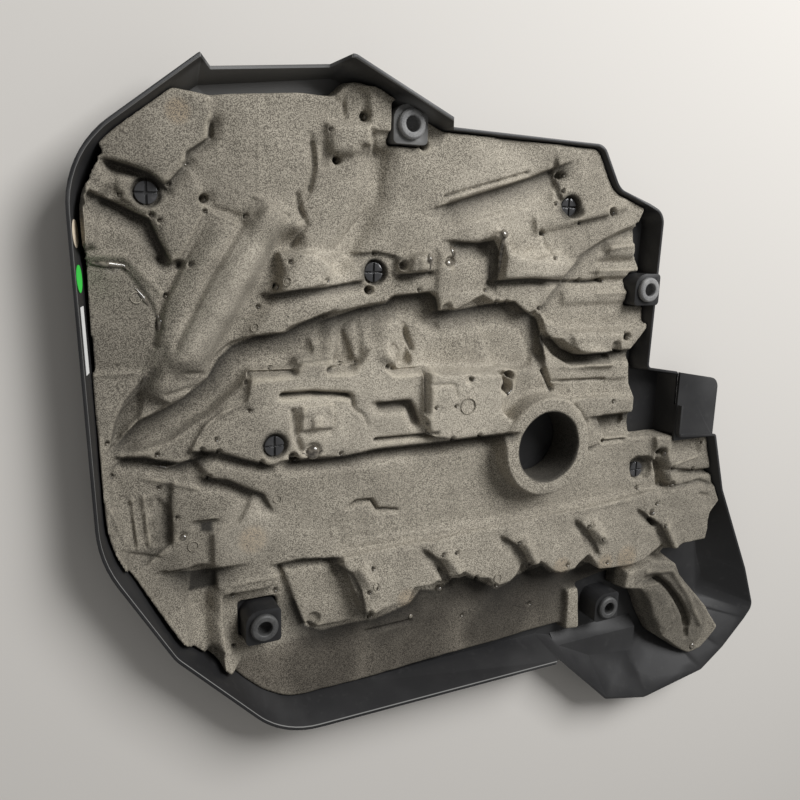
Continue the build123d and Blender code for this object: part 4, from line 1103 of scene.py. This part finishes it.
# %% Threads of skin along the edges
FILM_RUNS = [
    ([(-314, 288), (-300, 287), (-290, 286), (-286, 282)], 2.6),
    ([(-282, 269), (-277, 262), (-273, 255)], 1.8),
    ([(-268, 250), (-265, 243), (-266, 236)], 2.4),
    ([(48, 317), (45, 306), (44, 293), (43, 280)], 2.6),
    ([(-31, 298), (-30, 290), (-30, 283)], 2.2),
    ([(-276, 204), (-281, 196)], 1.5),
    ([(55, 169), (60, 163), (65, 168)], 1.7),
    ([(-150, 125), (-140, 121), (-131, 126)], 1.8),
    ([(-279, 129), (-266, 125), (-255, 127)], 1.4),
]
RUN_STEP = 1.5
TIP_START = 0.7
TIP_OVER = 0.4


def thread_tree():
    """Geometry Nodes: a line of points becomes a thread with the radius that each point carries."""
    tree, given, result = new_group(
        "skin threads", [("Lines", "NodeSocketGeometry"), ("Finish", "NodeSocketMaterial")],
        [("Threads", "NodeSocketGeometry")], "GeometryNodeTree")
    line = add(tree, "GeometryNodeMeshToCurve", {"Mesh": given.outputs["Lines"]})
    section = add(tree, "GeometryNodeCurvePrimitiveCircle", {"Resolution": 8, "Radius": 1.0})
    thread = add(tree, "GeometryNodeCurveToMesh",
                 {"Curve": line.outputs["Curve"], "Profile Curve": section.outputs["Curve"],
                  "Scale": point_value(tree, "size")})
    end_tree(tree, thread.outputs["Mesh"], given, result, "Threads")
    return tree


def along(path, step):
    """Points every few millimetres along a path."""
    marks = []
    for (ax, ay), (bx, by) in zip(path[:-1], path[1:]):
        count = max(int(math.hypot(bx - ax, by - ay) / step), 1)
        marks += [(ax + (bx - ax) * i / count, ay + (by - ay) * i / count) for i in range(count)]
    return marks + [path[-1]]


places, links, sizes = [], [], []
for path, radius in FILM_RUNS:
    found = [on_foam(x, y) for x, y in along(path, RUN_STEP)]
    found = [place for place, facing in found if place]
    links += [(len(places) + i, len(places) + i + 1) for i in range(len(found) - 1)]
    turns = [math.pi * (i + TIP_START) / (len(found) + TIP_OVER) for i in range(len(found))]
    sizes += [radius * MM * math.sin(turn) for turn in turns]
    places += found
mesh = bpy.data.meshes.new("skin_threads")
mesh.from_pydata(places, links, [])
mesh.attributes.new("size", "FLOAT", "POINT").data.foreach_set("value", sizes)
grow(put("skin_threads", mesh), thread_tree(), {"Finish": skin_material})

# %% [markdown]
# ## The shell's finish
# The shell is black polypropylene with a fine eroded grain, a satin gloss and a thin veil of dust.
# Handling leaves faint pale scuffs. The edge of the rim gets a painted highlight, the top tower painted
# light and the inside of the top skirt a painted sheen.

# %% Shell material
PLASTIC_BLACK = (0.017, 0.017, 0.018)
PLASTIC_SCUFF = (0.045, 0.044, 0.044)
# A painted highlight colour for the rim's edge, and a painted light colour for the top tower and skirt.
PLASTIC_RIM_HIGHLIGHT = (0.300, 0.298, 0.290)
PLASTIC_PAINTED_LIGHT = (0.230, 0.228, 0.222)
# Where and how strongly the top tower gets painted light and the top skirt a painted sheen.
SKIRT_PLACE = (-178, 432, 12)
TOWER_LIGHT = 0.7
TOWER_LIGHT_REACH = (14 * MM, 30 * MM)
SKIRT_SHEEN = 0.45
SKIRT_SHEEN_REACH = (40 * MM, 90 * MM)
RIM_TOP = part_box("cover_shell")[1][2]
# Heights of the band of painted highlight along the rim's rounded edge.
RIM_LIGHT = (RIM_TOP - 1.6 * MM, RIM_TOP - 0.9 * MM)
RIM_EDGE = (RIM_TOP - 0.15 * MM, RIM_TOP - 0.03 * MM)
# The top skirt's painted sheen fades out in this band below the rim.
BELOW_RIM = (RIM_TOP - 6 * MM, RIM_TOP - 14 * MM)
VEIL_SHARE = 0.35
SCUFF_SHARE = 0.30
# Strength of the rim's painted highlight.
RIM_HIGHLIGHT_SHARE = 0.8
PLASTIC_ROUGH = 0.40
VEIL_ROUGH = 0.15

shell_material, tree, shader, place = start_material("satin black plastic")
grain = use_group(tree, grain_group, place, Scale=1400.0, Contrast=1.0)
dust = use_group(tree, blotch_group, place, Scale=11.0, From=0.40, To=0.72)
scuff = use_group(tree, blotch_group, place, Scale=120.0, From=0.58, To=0.74)
colour = blend(tree, scaled(tree, dust.outputs["Mask"], VEIL_SHARE), PLASTIC_BLACK, PLASTIC_SCUFF)
colour = blend(tree, scaled(tree, scuff.outputs["Mask"], SCUFF_SHARE), colour, PLASTIC_SCUFF)
height = add(tree, "ShaderNodeSeparateXYZ", {"Vector": place}).outputs["Z"]
# Painted highlight: a light band along the rim's rounded edge.
rim = combine(tree, "SUBTRACT", ramp(tree, height, *RIM_LIGHT), ramp(tree, height, *RIM_EDGE))
colour = blend(tree, scaled(tree, rim, RIM_HIGHLIGHT_SHARE), colour, PLASTIC_RIM_HIGHLIGHT)
# Painted light on the top tower and a painted sheen inside the top skirt.
low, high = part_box("grommet_top")
tower = [(a + b) / 2 for a, b in zip(low, high)]
skirt = [(plan_x + SKIRT_PLACE[0]) * MM, (plan_y + SKIRT_PLACE[1]) * MM, SKIRT_PLACE[2] * MM]
skirt_sheen_share = scaled(tree, ramp(tree, height, *BELOW_RIM), SKIRT_SHEEN)
paler = [(tower, TOWER_LIGHT_REACH, TOWER_LIGHT), (skirt, SKIRT_SHEEN_REACH, skirt_sheen_share)]
for centre, (full, gone), share in paler:
    gap = add(tree, "ShaderNodeVectorMath", {0: place, 1: centre}, operation="DISTANCE")
    painted_lift = ramp(tree, gap.outputs["Value"], gone, full)
    colour = blend(tree, scaled(tree, painted_lift, share), colour, PLASTIC_PAINTED_LIGHT)
rough = combine(tree, "ADD", PLASTIC_ROUGH, scaled(tree, dust.outputs["Mask"], VEIL_ROUGH))
plug(tree, shader, {"Base Color": colour, "Roughness": rough})
add_bump(tree, shader, grain.outputs["Height"], strength=0.25, distance=0.3 * MM)
print("shell material with", len(tree.nodes), "nodes")

# %% [markdown]
# ## Rounded edges on the hard pieces
# Moulded plastic and rubber never have a knife edge, and it is the small round along each edge that
# catches the lamp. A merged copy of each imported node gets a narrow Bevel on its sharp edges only.

# %% Bevelled copies of the shell, grommets and retainers
SHELL_ROUND = 0.6 * MM
GROMMET_ROUND = 0.4 * MM
RETAINER_ROUND = 0.8 * MM
FLAT_ANGLE = math.radians(0.5)
SHARP_ANGLE = math.radians(40)
BEVEL_STEPS = 2


def rounded(node, name, width, material):
    piece = merged_copy(node, name)
    body = bmesh.new()
    body.from_mesh(piece.data)
    bmesh.ops.dissolve_limit(body, angle_limit=FLAT_ANGLE, verts=body.verts, edges=body.edges)
    for face in body.faces:
        face.smooth = True
    body.to_mesh(piece.data)
    body.free()
    piece.data.materials.append(material)
    bevel = piece.modifiers.new("round edges", "BEVEL")
    bevel.width = width
    bevel.segments = BEVEL_STEPS
    bevel.limit_method = "ANGLE"
    bevel.angle_limit = SHARP_ANGLE
    bevel.harden_normals = True
    bake_modifiers(piece)
    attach(piece, "root")
    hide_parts(node)
    print(name, "has", len(piece.data.polygons), "faces")


rounded("cover_shell", "shell_moulding", SHELL_ROUND, shell_material)

# %% [markdown]
# ## Rubber grommets and glossy retainers
# The grommets are dull rubber: the top and right ones are dusty and grey, the lower two black. The
# retainers are shiny black acetal.

# %% Rubber and acetal
ACETAL_BLACK = (0.050, 0.050, 0.052)
ACETAL_DUST = (0.120, 0.118, 0.114)
ACETAL_VEIL = 0.4
ACETAL_ROUGH = 0.13
ACETAL_VEIL_ROUGH = 0.20
RUBBER_VEIL = 0.5


def rubber(name, dark, light):
    material, tree, shader, place = start_material(name)
    grain = use_group(tree, grain_group, place, Scale=1100.0, Contrast=0.8)
    dust = use_group(tree, blotch_group, place, Scale=90.0, From=0.42, To=0.7)
    tone = blend(tree, grain.outputs["Tone"], (dark, dark, dark), (light, light, light))
    paler = (light * 1.35, light * 1.34, light * 1.30)
    tone = blend(tree, scaled(tree, dust.outputs["Mask"], RUBBER_VEIL), tone, paler)
    plug(tree, shader, {"Base Color": tone, "Roughness": 0.55})
    add_bump(tree, shader, grain.outputs["Height"], strength=0.25, distance=0.3 * MM)
    return material


grey_rubber = rubber("dusty grey rubber", 0.150, 0.260)
black_rubber = rubber("black rubber", 0.045, 0.085)

acetal_material, tree, shader, place = start_material("glossy black acetal")
grain = use_group(tree, grain_group, place, Scale=1500.0, Contrast=0.8)
dust = use_group(tree, blotch_group, place, Scale=150.0, From=0.5, To=0.75)
colour = blend(tree, scaled(tree, dust.outputs["Mask"], ACETAL_VEIL), ACETAL_BLACK, ACETAL_DUST)
rough = combine(tree, "ADD", ACETAL_ROUGH, scaled(tree, dust.outputs["Mask"], ACETAL_VEIL_ROUGH))
plug(tree, shader, {"Base Color": colour, "Roughness": rough})
add_bump(tree, shader, grain.outputs["Height"], strength=0.12, distance=0.2 * MM)

GROMMETS = {"top": grey_rubber, "right": grey_rubber,
            "lower_left": black_rubber, "lower_right": black_rubber}
for side, material in GROMMETS.items():
    rounded("grommet_" + side, "rubber_" + side, GROMMET_ROUND, material)
rounded("foam_retainers", "push_retainers", RETAINER_ROUND, acetal_material)

# %% [markdown]
# ## Paper stickers
# Two round inspection dots and a narrow strip are stuck inside the skirt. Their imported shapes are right,
# so they only get a paper finish: matt, with a slight fibre and a soft change of tone.

# %% Sticker materials
PAPER_WEAR = 0.5


def paper(name, colour, shade):
    material, tree, shader, place = start_material(name)
    fibre = use_group(tree, grain_group, place, Scale=1800.0, Contrast=0.6)
    worn = use_group(tree, blotch_group, place, Scale=60.0, From=0.4, To=0.75)
    tone = blend(tree, scaled(tree, worn.outputs["Mask"], PAPER_WEAR), colour, shade)
    plug(tree, shader, {"Base Color": tone, "Roughness": 0.6})
    add_bump(tree, shader, fibre.outputs["Height"], strength=0.1, distance=0.1 * MM)
    return material


STICKERS = {
    "inspection_dot_green": paper("green paper", (0.045, 0.68, 0.075), (0.035, 0.55, 0.06)),
    "inspection_dot_beige": paper("beige paper", (0.86, 0.74, 0.57), (0.76, 0.64, 0.48)),
    "label_strip": paper("white paper", (0.82, 0.82, 0.81), (0.70, 0.70, 0.69)),
}
for node, material in STICKERS.items():
    nodes[node].data.materials.clear()
    nodes[node].data.materials.append(material)
print("stickers:", ", ".join(STICKERS))

# %% [markdown]
# The dressed cover has to stay in the imported cover's box.
